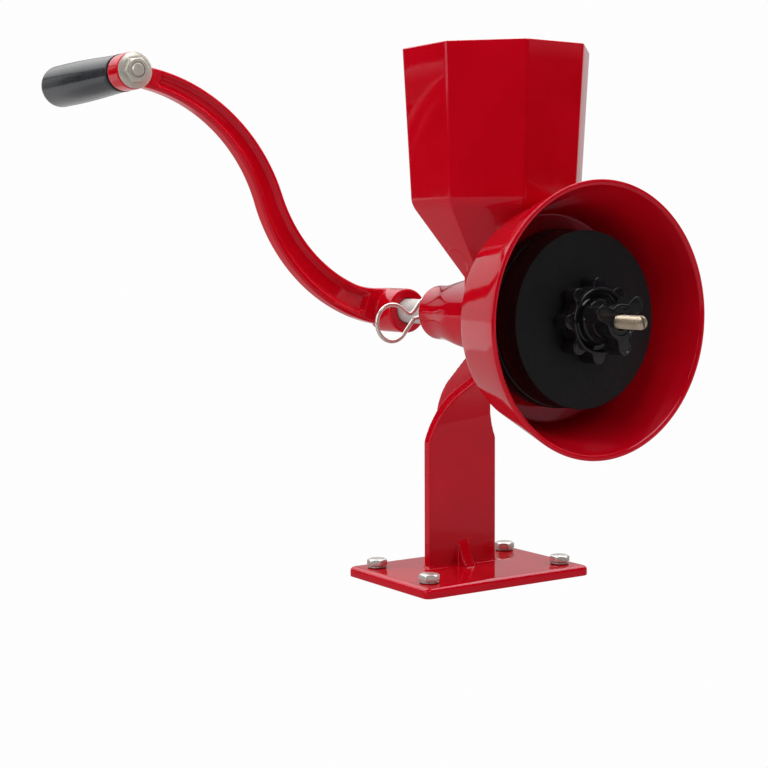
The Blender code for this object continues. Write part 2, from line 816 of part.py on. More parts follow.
# Stones
def build_stones():
    holder = turned(ring_of(holder_rear_y, holder_front_y, fixed_stone_eye, holder_radius), medium_segments)
    holder = make_part("stone_holder", holder, (cast_grey, 0.5, 1.0))
    combine(holder, make_cutter("holder_screw_holes", merged(clamp_screw_holes())), "DIFFERENCE")
    edge = stone_edge_radius
    fixed = ring_of(fixed_stone_rear_y, fixed_stone_front_y, fixed_stone_eye, fixed_stone_radius, edge)
    make_part("fixed_stone", turned(fixed, barrel_segments), (stone_black, 0.3, 0.0))
    eye = disc_hub_radius + gap
    turning = ring_of(turning_stone_rear_y, turning_stone_front_y, eye, stone_radius, edge)
    make_part("turning_stone", turned(turning, barrel_segments), (stone_black, 0.3, 0.0), "head_axis")


def build_stone_disc():
    edge = disc_edge_radius
    bore = shaft_radius + gap
    profile = [(disc_front_y, bore), (disc_front_y, disc_radius - edge), (disc_front_y + edge, disc_radius)]
    profile += [(disc_rear_y, disc_radius), (disc_rear_y, disc_hub_radius)]
    profile += [(disc_hub_rear_y, disc_hub_radius), (disc_hub_rear_y, bore)]
    disc = make_part("stone_disc", turned(profile, large_segments), (black_plastic, 0.55, 0.0), "head_axis")
    reach = disc_hub_radius + cut_overrun
    half = drive_pin_radius + gap
    low = (-reach, disc_hub_rear_y - disc_slot_depth, shaft_height - half)
    high = (reach, disc_hub_rear_y + cut_overrun, shaft_height + half)
    combine(disc, make_cutter("disc_slot", box_between(low, high)), "DIFFERENCE")


def build_clamp_screws():
    head_front_y = flange_rear_y + gap
    head_rear_y = head_front_y + clamp_head_height
    tip_y = holder_front_y + gap
    corner = clamp_head_flats / math.sqrt(3.0)
    chamfer = head_chamfer
    for index, place in enumerate(clamp_screw_places()):
        stages = [(tip_y, clamp_screw_radius), (head_front_y, clamp_screw_radius), (head_front_y, corner)]
        stages += [(head_rear_y - chamfer, corner), (head_rear_y, corner - chamfer)]
        rings = []
        for y, radius in stages:
            sides = [2.0 * math.pi * side / hex_sides for side in range(hex_sides)]
            rings.append([(place.x + radius * math.cos(a), y, place.z + radius * math.sin(a)) for a in sides])
        make_part(f"clamp_screw_{index + 1}", loft(rings), (zinc_steel, 0.3, 1.0))


# Shaft assembly
def build_main_shaft():
    chamfer = shaft_chamfer
    stud_bore = stud_radius + gap
    bolt_bore = crank_bolt_radius + gap
    stud_hole_y = shaft_front_y + stud_thread_depth
    bolt_hole_y = shaft_rear_y - crank_bolt_depth
    profile = [(stud_hole_y, 0.0), (stud_hole_y, stud_bore), (shaft_front_y, stud_bore)]
    profile += [(shaft_front_y, shaft_radius - chamfer), (shaft_front_y + chamfer, shaft_radius)]
    profile += [(shaft_rear_y - chamfer, shaft_radius), (shaft_rear_y, shaft_radius - chamfer)]
    profile += [(shaft_rear_y, bolt_bore), (bolt_hole_y, bolt_bore), (bolt_hole_y, 0.0)]
    shaft = make_part("main_shaft", turned(profile, medium_segments), (shaft_grey, 0.42, 0.6), "crank_axis")
    reach = shaft_radius + cut_overrun
    holes = []
    for y, radius in ((clip_y, clip_wire_radius), (drive_pin_y, drive_pin_radius)):
        start, end = (-reach, y, shaft_height), (reach, y, shaft_height)
        holes.append(cylinder_between(start, end, radius + gap, small_segments))
    combine(shaft, make_cutter("shaft_cross_holes", merged(holes)), "DIFFERENCE")
    low, high = key_space(gap)
    combine(shaft, make_cutter("shaft_keyway", box_between(low, high)), "DIFFERENCE")


def key_space(clearance):
    """Low and high corners of the key, half in the shaft and half in the hub, or of its slot."""
    half_width = key_width / 2.0 + clearance
    middle_z = shaft_height + shaft_radius
    front_y = crank_hub_rear_y - key_length - clearance
    rear_y = shaft_rear_y + (cut_overrun if clearance > 0.0 else 0.0)
    low = (-half_width, front_y, middle_z - key_height / 2.0 - clearance)
    high = (half_width, rear_y, middle_z + key_height / 2.0 + clearance)
    return low, high


def build_stud():
    chamfer = stud_chamfer
    profile = [(stud_root_y, 0.0), (stud_root_y, stud_radius), (stud_tip_y + chamfer, stud_radius)]
    profile += [(stud_tip_y, stud_radius - chamfer), (stud_tip_y, 0.0)]
    stud = make_part("threaded_stud", turned(profile, small_segments), (stud_steel, 0.3, 1.0), "crank_axis")
    half = stud_slot_width / 2.0
    reach = stud_radius + cut_overrun
    low = (-half, stud_tip_y - cut_overrun, shaft_height - reach)
    high = (half, stud_tip_y + stud_slot_depth, shaft_height + reach)
    combine(stud, make_cutter("stud_slot", box_between(low, high)), "DIFFERENCE")


def build_drive_pin():
    half = drive_pin_length / 2.0
    pin = cylinder_between((-half, drive_pin_y, shaft_height), (half, drive_pin_y, shaft_height),
                           drive_pin_radius, small_segments)
    make_part("drive_pin", pin, (zinc_steel, 0.3, 1.0), "crank_axis")


def build_auger():
    rear_y = barrel_back_wall_y - auger_end_clearance
    bore = shaft_radius + gap
    sleeve = turned(ring_of(rear_y, auger_front_y, bore, auger_sleeve_radius), medium_segments)
    auger = make_part("feed_auger", sleeve, (cast_grey, 0.4, 1.0), "crank_axis")
    root_radius = (bore + auger_sleeve_radius) / 2.0
    half = auger_flight_thickness / 2.0
    start_y = rear_y - half
    end_y = auger_front_y + half
    steps = int(auger_turns * auger_steps_per_turn)
    rings = []
    for step in range(steps + 1):
        angle = 2.0 * math.pi * step / auger_steps_per_turn
        y = start_y + (end_y - start_y) * step / steps
        section = [(root_radius, -half), (auger_flight_radius, -half / 2.0)]
        section += [(auger_flight_radius, half / 2.0), (root_radius, half)]
        rings.append([(r * math.cos(angle), y + offset, shaft_height - r * math.sin(angle)) for r, offset in section])
    combine(auger, make_cutter("auger_flight", loft(rings)), "UNION")


def build_thrust_washer():
    profile = ring_of(thrust_washer_front_y, thrust_washer_rear_y, shaft_radius + gap, thrust_washer_radius)
    make_part("thrust_washer", turned(profile, medium_segments), (zinc_steel, 0.3, 1.0), "crank_axis")


def smooth_run(points, steps):
    """Points on a smooth curve through the inner points of a short list, Catmull-Rom style."""
    run = []
    for i in range(1, len(points) - 2):
        p0, p1, p2, p3 = (Vector(points[i + k]) for k in (-1, 0, 1, 2))
        for step in range(steps):
            t = step / steps
            run.append(
                0.5 * (2.0 * p1 + (p2 - p0) * t + (2.0 * p0 - 5.0 * p1 + 4.0 * p2 - p3) * t * t
                       + (3.0 * p1 - p0 - 3.0 * p2 + p3) * t ** 3)
            )
    run.append(Vector(points[-2]))
    return run


def clip_route():
    """Centreline of the bent wire in the plane across the shaft, from the straight leg's end."""
    loop_z = -clip_loop_drop
    loop = arc_points(clip_loop_x, loop_z, clip_loop_radius, clip_loop_start,
                      clip_loop_start - clip_loop_sweep, clip_loop_steps)
    bow = arc_points(0.0, 0.0, clip_bow_radius, clip_bow_start, clip_bow_end, clip_bow_steps)
    leg_bend = [(clip_leg_end_x, 0.0), (clip_leg_bend_x, 0.0)]
    corner = (clip_leg_bend_x - 2.0 * clip_wire_radius, -clip_wire_radius)
    run_in = smooth_run([leg_bend[0], leg_bend[1], corner, loop[0], loop[1]], clip_curve_steps)
    neck = (clip_neck_x, -clip_neck_drop)
    run_over = smooth_run([loop[-2], loop[-1], neck, bow[0], bow[1]], clip_curve_steps)
    tip = (clip_tip_x, clip_tip_rise)
    route = [Vector(leg_bend[0])] + run_in + [Vector(p) for p in loop[1:-1]]
    route += run_over + [Vector(p) for p in bow[1:]] + [Vector(tip)]
    return [(p.x, clip_y, shaft_height + p.y) for p in route]


def build_hairpin_clip():
    curve = bpy.data.curves.new("hairpin_clip", "CURVE")
    curve.dimensions = "3D"
    curve.bevel_depth = clip_wire_radius
    curve.bevel_resolution = clip_wire_resolution
    curve.use_fill_caps = True
    spline = curve.splines.new("POLY")
    route = clip_route()
    spline.points.add(len(route) - 1)
    for point, place in zip(spline.points, route):
        point.co = (*place, 1.0)
    curve.materials.append(make_material("hairpin_clip_finish", zinc_steel, 0.15, 1.0))
    obj = bpy.data.objects.new("hairpin_clip", curve)
    bpy.context.scene.collection.objects.link(obj)
    hang_on_axis(obj, "crank_axis")


# Crank arm
def crank_path():
    """Stations along the S from hub to eye: two arcs that meet in a common tangent.

    Each station is (x, z, heading, distance), with x and z counted from the shaft axis.
    """
    eye = Vector((-crank_reach_x, crank_rise - arm_end_drop))
    outer_r = crank_outer_radius
    outer = eye - outer_r * Vector((math.sin(crank_outer_heading), math.cos(crank_outer_heading)))
    normal = Vector((math.sin(crank_hub_heading), math.cos(crank_hub_heading)))
    inner_r = (outer.length_squared - outer_r * outer_r) / (2.0 * (outer_r + outer.dot(normal)))
    inner = normal * inner_r
    joint = outer + (inner - outer).normalized() * outer_r
    hub_angle = math.atan2(-inner.y, -inner.x)
    joint_angle_inner = math.atan2(joint.y - inner.y, joint.x - inner.x)
    joint_angle_outer = math.atan2(joint.y - outer.y, joint.x - outer.x)
    eye_angle = math.atan2(eye.y - outer.y, eye.x - outer.x)
    sweep_inner = (hub_angle - joint_angle_inner) % (2.0 * math.pi)
    sweep_outer = (eye_angle - joint_angle_outer) % (2.0 * math.pi)
    length_inner, length_outer = sweep_inner * inner_r, sweep_outer * outer_r
    total = length_inner + length_outer
    stations = []
    for step in range(arm_steps + 1):
        distance = total * step / arm_steps
        if distance <= length_inner:
            angle = hub_angle - distance / inner_r
            x = inner.x + inner_r * math.cos(angle)
            z = inner.y + inner_r * math.sin(angle)
            side = Vector((-math.cos(angle), -math.sin(angle)))
        else:
            angle = joint_angle_outer + (distance - length_inner) / outer_r
            x = outer.x + outer_r * math.cos(angle)
            z = outer.y + outer_r * math.sin(angle)
            side = Vector((math.cos(angle), math.sin(angle)))
        stations.append((x, z, side, distance, total))
    return stations


def arm_section(half_width, depth):
    """Cross-section of the arm as (across, y) pairs: rounded edges, a channel in each face."""
    front, back = arm_front_y, arm_front_y + arm_thickness
    edge = arm_edge_radius
    soft = edge * (1.0 - math.sqrt(0.5))
    rim = half_width - arm_rim_width
    floor = rim - arm_recess_slope
    half = [(half_width, front + edge), (half_width - soft, front + soft), (half_width - edge, front)]
    half += [(rim, front), (floor, front + depth)]
    front_side = half + [(-across, y) for across, y in reversed(half)]
    back_side = [(across, front + back - y) for across, y in reversed(front_side)]
    return front_side + back_side


def build_crank_arm():
    rings = []
    for x, z, side, distance, total in crank_path():
        share = distance / total
        half_width = (arm_width_at_hub + (arm_width_at_eye - arm_width_at_hub) * share) / 2.0
        from_hub = (distance - arm_recess_from_hub) / arm_recess_ramp
        from_eye = (total - arm_recess_from_eye - distance) / arm_recess_ramp
        open_share = max(0.0, min(1.0, from_hub, from_eye))
        depth = arm_recess_depth * math.sin(open_share * math.pi / 2.0)
        ring = []
        for across, y in arm_section(half_width, depth):
            ring.append((x + side.x * across, y, shaft_height + z + side.y * across))
        rings.append(ring)
    arm = make_part("crank_arm", loft(rings), (red_enamel, 0.16, 0.0), "crank_axis")
    edge = crank_hub_edge
    hub = turned([(crank_hub_front_y, 0.0), (crank_hub_front_y, crank_hub_radius - edge),
                  (crank_hub_front_y + edge, crank_hub_radius), (crank_hub_rear_y - edge, crank_hub_radius),
                  (crank_hub_rear_y, crank_hub_radius - edge), (crank_hub_rear_y, 0.0)], medium_segments)
    edge = crank_eye_edge
    eye = turned([(crank_eye_front_y, 0.0), (crank_eye_front_y, crank_eye_radius - edge),
                  (crank_eye_front_y + edge, crank_eye_radius), (crank_eye_rear_y - edge, crank_eye_radius),
                  (crank_eye_rear_y, crank_eye_radius - edge), (crank_eye_rear_y, 0.0)],
                 medium_segments, eye_centre)
    combine(arm, make_cutter("crank_hub", hub), "UNION")
    combine(arm, make_cutter("crank_eye", eye), "UNION")
    bores = []
    over = cut_overrun
    for centre, front_y, rear_y, radius in (
        (shaft_centre, crank_hub_front_y, crank_hub_rear_y, shaft_radius + crank_bore_clearance),
        (eye_centre, crank_eye_front_y, crank_eye_rear_y, axle_radius + gap),
    ):
        start = (centre.x, front_y - over, centre.z)
        end = (centre.x, rear_y + over, centre.z)
        bores.append(cylinder_between(start, end, radius, small_segments))
    combine(arm, make_cutter("crank_bores", merged(bores)), "DIFFERENCE")
    low, high = key_space(gap)
    combine(arm, make_cutter("crank_keyway", box_between(low, high)), "DIFFERENCE")


def build_crank_fixing():
    low, high = key_space(0.0)
    make_part("crank_key", box_between(low, high), (zinc_steel, 0.4, 1.0), "crank_axis")
    washer_front = crank_hub_rear_y + gap
    washer_rear = washer_front + crank_washer_thickness
    washer = ring_of(washer_front, washer_rear, crank_bolt_radius + gap, crank_washer_radius)
    make_part("crank_washer", turned(washer, small_segments), (zinc_steel, 0.3, 1.0), "crank_axis")
    head_front = washer_rear + gap
    head_rear = head_front + crank_bolt_head_height
    bolt = loft(hex_prism_rings(crank_bolt_flats, head_front, head_rear, head_chamfer, shaft_centre))
    bolt = make_part("crank_bolt", bolt, (zinc_steel, 0.25, 1.0), "crank_axis")
    tip = (0.0, shaft_rear_y - crank_bolt_depth + gap, shaft_height)
    root = (0.0, head_front + crank_bolt_head_height / 2.0, shaft_height)
    shank = cylinder_between(tip, root, crank_bolt_radius, small_segments)
    combine(bolt, make_cutter("crank_bolt_shank", shank), "UNION")


# Grip
def build_grip():
    head_front = grip_far_y - grip_head_pocket_depth + gap
    head_rear = head_front + axle_head_height
    chamfer = axle_tip_chamfer
    axle = [(axle_front_y, 0.0), (axle_front_y, axle_radius - chamfer), (axle_front_y + chamfer, axle_radius)]
    axle += [(head_front, axle_radius), (head_front, axle_head_radius), (head_rear, axle_head_radius)]
    axle += [(head_rear, 0.0)]
    make_part("grip_axle_bolt", turned(axle, small_segments, eye_centre), (zinc_steel, 0.25, 1.0), "crank_axis")

    flange_rear = crank_eye_front_y - gap
    flange_front = flange_rear - nut_flange_thickness
    hex_front = flange_front - nut_hex_height
    bore = axle_radius + gap
    nut = [(flange_rear, bore), (flange_rear, nut_flange_radius), (flange_front, nut_flange_radius)]
    nut += [(flange_front - nut_hex_height / 2.0, nut_cone_radius - nut_hex_height / 3.0)]
    nut += [(flange_front - nut_hex_height / 2.0, bore)]
    nut = make_part("grip_nut", turned(nut, medium_segments, eye_centre), (zinc_steel, 0.22, 1.0), "crank_axis")
    crown = loft(hex_prism_rings(nut_hex_flats, flange_front + gap, hex_front, head_chamfer, eye_centre))
    combine(nut, make_cutter("grip_nut_crown", crown), "UNION")
    start = (eye_centre.x, hex_front - cut_overrun, eye_centre.z)
    end = (eye_centre.x, flange_rear + cut_overrun, eye_centre.z)
    combine(nut, make_cutter("grip_nut_bore", cylinder_between(start, end, bore, small_segments)), "DIFFERENCE")

    ring = ring_of(grip_ring_front_y, grip_ring_rear_y, bore, grip_ring_radius)
    make_part("grip_ring", turned(ring, medium_segments, eye_centre), (black_plastic, 0.5, 0.0), "grip_axis")

    near, far = grip_near_round, grip_far_round
    profile = [(grip_near_y, bore)]
    profile += arc_points(grip_near_y + near, grip_near_radius - near, near, math.pi, math.pi / 2.0, corner_steps)
    profile += arc_points(grip_far_y - far, grip_far_radius - far, far, math.pi / 2.0, grip_far_arc_end, corner_steps)
    pocket = grip_head_pocket_radius
    pocket_y = grip_far_y - grip_head_pocket_depth
    end_y = grip_far_y - far + far * math.cos(grip_far_arc_end)
    profile += [(end_y, pocket), (pocket_y, pocket), (pocket_y, bore)]
    make_part("hand_grip", turned(profile, medium_segments, eye_centre), (grip_grey, 0.32, 0.0), "grip_axis")


grip_far_arc_end = 18.0 * deg


# Knobs
def lobed_ring(y, radius, lobes, points_per_lobe, phase, valley=None, power=1.0, inset=0.0):
    """A ring about the shaft: a circle, or lobes that swell from a valley radius to the tip radius."""
    points = []
    count = lobes * points_per_lobe
    for index in range(count):
        angle = 2.0 * math.pi * index / count
        r = radius
        if valley is not None:
            swell = ((1.0 + math.cos(lobes * angle)) / 2.0) ** power
            r = valley + (radius - valley) * swell - inset
        turn = angle + phase
        points.append((r * math.cos(turn), y, shaft_height + r * math.sin(turn)))
    return points


def build_adjusting_knob():
    rear, face, edge = star_rear_y, star_face_y, star_edge_radius
    bead_front = face - star_bead_height
    dish = face + star_dish_depth
    bore = stud_radius + gap + insert_wall + gap
    lobed = (star_tip_radius, star_lobes, star_points_per_lobe, star_phase, star_valley_radius, star_lobe_power)
    lobed_stages = [(rear, edge), (rear - edge, 0.0), (face + edge, 0.0), (face, edge)]
    round_stages = [
        (face, star_bead_radius),
        (bead_front, star_bead_radius - star_bead_width / 2.0),
        (face, star_bead_radius - star_bead_width * 1.5),
        (dish, star_bead_radius - star_bead_width * 2.0),
        (dish, star_hub_radius),
        (dish - star_hub_height / 2.0, star_groove_radius),
        (star_hub_front_y, star_hub_top_radius),
        (star_hub_front_y, bore),
        (rear, bore),
    ]
    rings = [lobed_ring(y, *lobed, inset) for y, inset in lobed_stages]
    for y, radius in round_stages:
        rings.append(lobed_ring(y, radius, star_lobes, star_points_per_lobe, star_phase))
    make_part("adjusting_knob", loft(rings, closed=True), (black_plastic, 0.25, 0.0), "knob_axis")
    bush = ring_of(rear - gap, star_hub_front_y + gap, stud_radius + gap, bore - gap)
    make_part("adjusting_knob_bush", turned(bush, small_segments), (brass, 0.35, 1.0), "knob_axis")


def build_lock_knob():
    rear, front, edge = lock_rear_y, lock_front_y, lock_edge_radius
    bore = stud_radius + gap + insert_wall + gap
    lobed = (lock_tip_radius, lock_lobes, lock_points_per_lobe, lock_phase, lock_waist_radius, lock_lobe_power)
    lobed_stages = [(rear, edge), (rear - edge, 0.0), (front + edge, 0.0), (front, edge)]
    dish = front + lock_dish_depth
    cover_rear = dish + lock_cover_thickness
    stud_hole = stud_radius + lock_cover_clearance
    round_stages = [
        (front, lock_dish_radius),
        (dish, stud_hole),
        (cover_rear, stud_hole),
        (cover_rear, bore),
        (rear, bore),
    ]
    rings = [lobed_ring(y, *lobed, inset) for y, inset in lobed_stages]
    for y, radius in round_stages:
        rings.append(lobed_ring(y, radius, lock_lobes, lock_points_per_lobe, lock_phase))
    make_part("lock_knob", loft(rings, closed=True), (black_plastic, 0.25, 0.0), "lock_axis")
    bush = ring_of(rear - gap, cover_rear + gap, stud_radius + gap, bore - gap)
    make_part("lock_knob_bush", turned(bush, small_segments), (brass, 0.35, 1.0), "lock_axis")


# Build everything
for leftover in list(bpy.data.objects):
    bpy.data.objects.remove(leftover, do_unlink=True)

make_axis("crank_axis", shaft_centre)
make_axis("grip_axis", eye_centre, "crank_axis")
make_axis("head_axis", shaft_centre, "crank_axis")
make_axis("knob_axis", shaft_centre, "head_axis")
make_axis("lock_axis", shaft_centre, "head_axis")
build_base_plate()
build_base_bolts()
build_leg()
build_barrel()
build_bushes()
build_hopper()
build_bell()
build_stones()
build_stone_disc()
build_clamp_screws()
build_main_shaft()
build_stud()
build_drive_pin()
build_auger()
build_thrust_washer()
build_hairpin_clip()
build_crank_arm()
build_crank_fixing()
build_grip()
build_adjusting_knob()
build_lock_knob()
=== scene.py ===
# Hand-cranked stone grain mill in gloss red enamel, photographed on white.
# Metres, +Z up, origin under the base plate; the main shaft runs along Y and the bell opens towards -Y.
import math

import bmesh
import bpy
from mathutils import Matrix, Vector


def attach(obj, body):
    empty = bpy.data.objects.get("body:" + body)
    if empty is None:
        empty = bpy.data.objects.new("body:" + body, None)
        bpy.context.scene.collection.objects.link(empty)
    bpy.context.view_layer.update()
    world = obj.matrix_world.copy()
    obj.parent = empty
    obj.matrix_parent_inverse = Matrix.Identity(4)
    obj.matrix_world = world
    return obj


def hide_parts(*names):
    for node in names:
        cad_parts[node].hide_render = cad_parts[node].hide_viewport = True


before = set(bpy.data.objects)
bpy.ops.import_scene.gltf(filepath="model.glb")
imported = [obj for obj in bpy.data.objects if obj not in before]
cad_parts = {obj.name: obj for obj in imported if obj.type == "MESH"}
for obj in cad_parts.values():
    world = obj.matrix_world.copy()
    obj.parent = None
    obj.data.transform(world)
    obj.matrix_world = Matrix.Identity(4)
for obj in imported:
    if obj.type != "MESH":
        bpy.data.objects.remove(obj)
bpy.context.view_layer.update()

# Base plate
# A cast iron plate with a rounded top edge and four bolt holes, dipped in the same
# gloss red enamel as every casting of the mill.
mm = 0.001
full_turn = 2.0 * math.pi
plate_half_x = 59.6 * mm
plate_half_y = 40.6 * mm
plate_top = 6.0 * mm
plate_corner = 4.0 * mm
plate_edge = 2.4 * mm
plate_edge_wide = 3.6 * mm
plate_flat = 0.3 * mm
plate_foot_edge = 0.4 * mm
bolt_x = 47.9 * mm
bolt_y = 26.6 * mm
bolt_hole = 3.4 * mm


def arc(centre_a, centre_b, radius, start, end, steps):
    """Points of an arc in degrees, as pairs."""
    points = []
    for step in range(steps + 1):
        angle = math.radians(start + (end - start) * step / steps)
        points.append((centre_a + radius * math.cos(angle), centre_b + radius * math.sin(angle)))
    return points


def loft(rings, closed=False):
    """A skin over rings with equal numbers of points, capped at both ends or joined last to first."""
    bm = bmesh.new()
    rows = [[bm.verts.new(point) for point in ring] for ring in rings]
    count = len(rows[0])
    pairs = list(zip(rows, rows[1:]))
    if closed:
        pairs.append((rows[-1], rows[0]))
    else:
        bm.faces.new(rows[0])
        bm.faces.new(rows[-1])
    for low, high in pairs:
        for i in range(count):
            j = (i + 1) % count
            bm.faces.new((low[i], low[j], high[j], high[i]))
    return bm


def solid(name, bm, crease=38.0):
    """A mesh object with smooth faces and sharp edges past an angle."""
    bmesh.ops.recalc_face_normals(bm, faces=bm.faces)
    mesh = bpy.data.meshes.new(name)
    bm.to_mesh(mesh)
    bm.free()
    mesh.shade_smooth()
    mesh.set_sharp_from_angle(angle=math.radians(crease))
    obj = bpy.data.objects.new(name, mesh)
    bpy.context.scene.collection.objects.link(obj)
    return obj


def settle(obj, crease=None):
    """Works an object's modifiers into its mesh."""
    graph = bpy.context.evaluated_depsgraph_get()
    mesh = bpy.data.meshes.new_from_object(obj.evaluated_get(graph))
    obj.modifiers.clear()
    old = obj.data
    obj.data = mesh
    bpy.data.meshes.remove(old)
    if crease is not None:
        mesh.shade_smooth()
        mesh.set_sharp_from_angle(angle=math.radians(crease))


def combine(obj, other, operation="DIFFERENCE"):
    """Cuts one object with another, or joins them, and clears the other away."""
    modifier = obj.modifiers.new("work", "BOOLEAN")
    modifier.operation = operation
    modifier.solver = "EXACT"
    modifier.object = other
    settle(obj)
    bpy.data.objects.remove(other, do_unlink=True)


def rod(start, end, radius, segments=48):
    """A plain round rod between two points, for bores and shanks."""
    start, end = Vector(start), Vector(end)
    run = end - start
    turn = run.to_track_quat("Z", "Y").to_matrix().to_4x4()
    bm = bmesh.new()
    bmesh.ops.create_cone(bm, cap_ends=True, segments=segments, radius1=radius, radius2=radius,
                          depth=run.length, matrix=Matrix.Translation((start + end) / 2.0) @ turn)
    return bm


def drill(obj, start, end, radius, segments=48):
    """Bores a round hole in an object, from one point to another."""
    combine(obj, solid("hole", rod(start, end, radius, segments)))


def fit(obj, body, nodes, finish):
    """Gives a made piece its finish, and its place in the model."""
    obj.data.materials.clear()
    obj.data.materials.append(finish)
    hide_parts(*nodes)
    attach(obj, body)


def add_node(tree, kind, inputs=None, **settings):
    """A node of a kind; an input is a value or another node's output."""
    made = tree.nodes.new(kind)
    for key, value in settings.items():
        setattr(made, key, value)
    for key, value in (inputs or {}).items():
        if isinstance(value, bpy.types.NodeSocket):
            tree.links.new(value, made.inputs[key])
        else:
            made.inputs[key].default_value = value
    return made


def start_finish(name, **shader_values):
    """A new Principled material: its node tree, its shader and the object's own coordinates."""
    material = bpy.data.materials.new(name)
    material.use_nodes = True
    tree = material.node_tree
    shader = tree.nodes["Principled BSDF"]
    for key, value in shader_values.items():
        shader.inputs[key.replace("_", " ")].default_value = value
    place = add_node(tree, "ShaderNodeTexCoord").outputs["Object"]
    return material, tree, shader, place


def spread(tree, value, low, high, from_low=0.3, from_high=0.7):
    """Maps the range in which noise mostly lies, or a given one, from low to high."""
    inputs = {"Value": value, "From Min": from_low, "From Max": from_high, "To Min": low, "To Max": high}
    return add_node(tree, "ShaderNodeMapRange", inputs).outputs["Result"]


def blend_colours(tree, factor, first, second):
    """A mix of two colours, each a value or a node's output."""
    mix = add_node(tree, "ShaderNodeMix", data_type="RGBA")
    tree.links.new(factor, mix.inputs[0])
    for index, colour in ((6, first), (7, second)):
        if isinstance(colour, bpy.types.NodeSocket):
            tree.links.new(colour, mix.inputs[index])
        else:
            mix.inputs[index].default_value = (*colour, 1.0)
    return mix.outputs[2]


def pattern(tree, place, size, detail, roughness=0.5, span=None, centre=None):
    """Noise with blobs about a size in metres across, or rings round a line along Y through a centre,
    as a lathe leaves them. A span of its values makes specks of it, full at the span's end."""
    inputs = {"Scale": 1.0 / size, "Detail": detail, "Roughness": roughness}
    if centre is None:
        value = add_node(tree, "ShaderNodeTexNoise", {"Vector": place, **inputs}).outputs["Fac"]
    else:
        offset = add_node(tree, "ShaderNodeVectorMath", {0: place, 1: centre}, operation="SUBTRACT")
        level = {0: offset.outputs[0], 1: (1.0, 0.0, 1.0)}
        flat = add_node(tree, "ShaderNodeVectorMath", level, operation="MULTIPLY")
        radius = add_node(tree, "ShaderNodeVectorMath", {0: flat.outputs[0]}, operation="LENGTH")
        inputs["W"] = radius.outputs["Value"]
        value = add_node(tree, "ShaderNodeTexNoise", inputs, noise_dimensions="1D").outputs["Fac"]
    return value if span is None else spread(tree, value, 0.0, 1.0, *span)


def coat(name, tones, clouds, gloss, hazes, bumps, specks=None, **shader_values):
    """A finish of clouded tones, hazed gloss and bumps. Clouds and hazes give a pattern's size and
    detail; a bump is a depth in metres and a pattern, specks are a colour and a pattern."""
    material, tree, shader, place = start_finish(name, **shader_values)
    colour = blend_colours(tree, spread(tree, pattern(tree, place, *clouds), 0.0, 1.0), *tones)
    if specks is not None:
        pale, *spots = specks
        colour = blend_colours(tree, pattern(tree, place, *spots), colour, pale)
    tree.links.new(colour, shader.inputs["Base Color"])
    tree.links.new(spread(tree, pattern(tree, place, *hazes), *gloss), shader.inputs["Roughness"])
    normal = None
    for depth, *form in bumps:
        bump = add_node(tree, "ShaderNodeBump", {"Height": pattern(tree, place, *form), "Distance": depth})
        if normal is not None:
            tree.links.new(normal, bump.inputs["Normal"])
        normal = bump.outputs["Normal"]
    tree.links.new(normal, shader.inputs["Normal"])
    return material


def enamel_finish(name, wave=9.0 * mm, wave_depth=0.03 * mm, nib=0.01 * mm,
                  deep=(0.50, 0.0012, 0.008), light=(0.55, 0.002, 0.011)):
    """Gloss red enamel over a casting: slow waves, fine orange peel, a few dust nibs."""
    bumps = [(wave_depth, wave, 1.0), (0.0012 * mm, 1.3 * mm, 2.0), (nib, 2.6 * mm, 1.0, 0.5, (0.76, 0.86))]
    return coat(name, (deep, light), (26.0 * mm, 3.0), (0.045, 0.10), (7.0 * mm, 4.0), bumps,
                IOR=1.5, Specular_Tint=(1.0, 0.78, 1.0, 1.0))


def plate_ring(inset, z, steps=10):
    """The plate's outline at a height, drawn in by an inset."""
    radius = plate_corner - inset
    points = []
    for index, (side_x, side_y) in enumerate([(1, 1), (-1, 1), (-1, -1), (1, -1)]):
        centre_x = side_x * (plate_half_x - inset - radius)
        centre_y = side_y * (plate_half_y - inset - radius)
        corner = arc(centre_x, centre_y, radius, 90.0 * index, 90.0 * index + 90.0, steps)
        points += [(x, y, z) for x, y in corner]
    return points


plate_rings = [plate_ring(plate_foot_edge, 0.0), plate_ring(0.0, plate_foot_edge)]
plate_rings += [plate_ring(plate_edge_wide * (1.0 - out), plate_top - plate_edge * (1.0 - up))
                for out, up in arc(0.0, 0.0, 1.0, 0.0, 90.0, 12)]
plate_rings.append(plate_ring(plate_edge_wide + plate_flat, plate_top))
plate = solid("plate", loft(plate_rings))
bolt_spots = [(-bolt_x, -bolt_y), (bolt_x, -bolt_y), (bolt_x, bolt_y), (-bolt_x, bolt_y)]
for x, y in bolt_spots:
    drill(plate, (x, y, -mm), (x, y, plate_top + mm), bolt_hole)
settle(plate, 50.0)
casting_enamel = enamel_finish("red_enamel_plate", 16.0 * mm, 0.02 * mm, nib=0.004 * mm)
fit(plate, "frame", ["base_plate"], casting_enamel)

# Base bolts and washers
# Bright zinc-plated hex heads with a chamfered crown, each on a plain stamped washer
# with soft edges; turned to the angles that the spanner left them at.
head_flats = 10.6 * mm
head_drop = 0.9 * mm
bolt_levels = (0.3 * mm, 7.7 * mm, 11.3 * mm)
shank_radius = 3.0 * mm
washer_low = 6.3 * mm
washer_high = 7.4 * mm
washer_radius = 5.7 * mm
washer_bore = 3.3 * mm
washer_round = 0.35 * mm
bolt_turns = [35.0, 33.0, 18.0, 15.0]
crown_share = 0.47
edge_break = 0.12 * mm


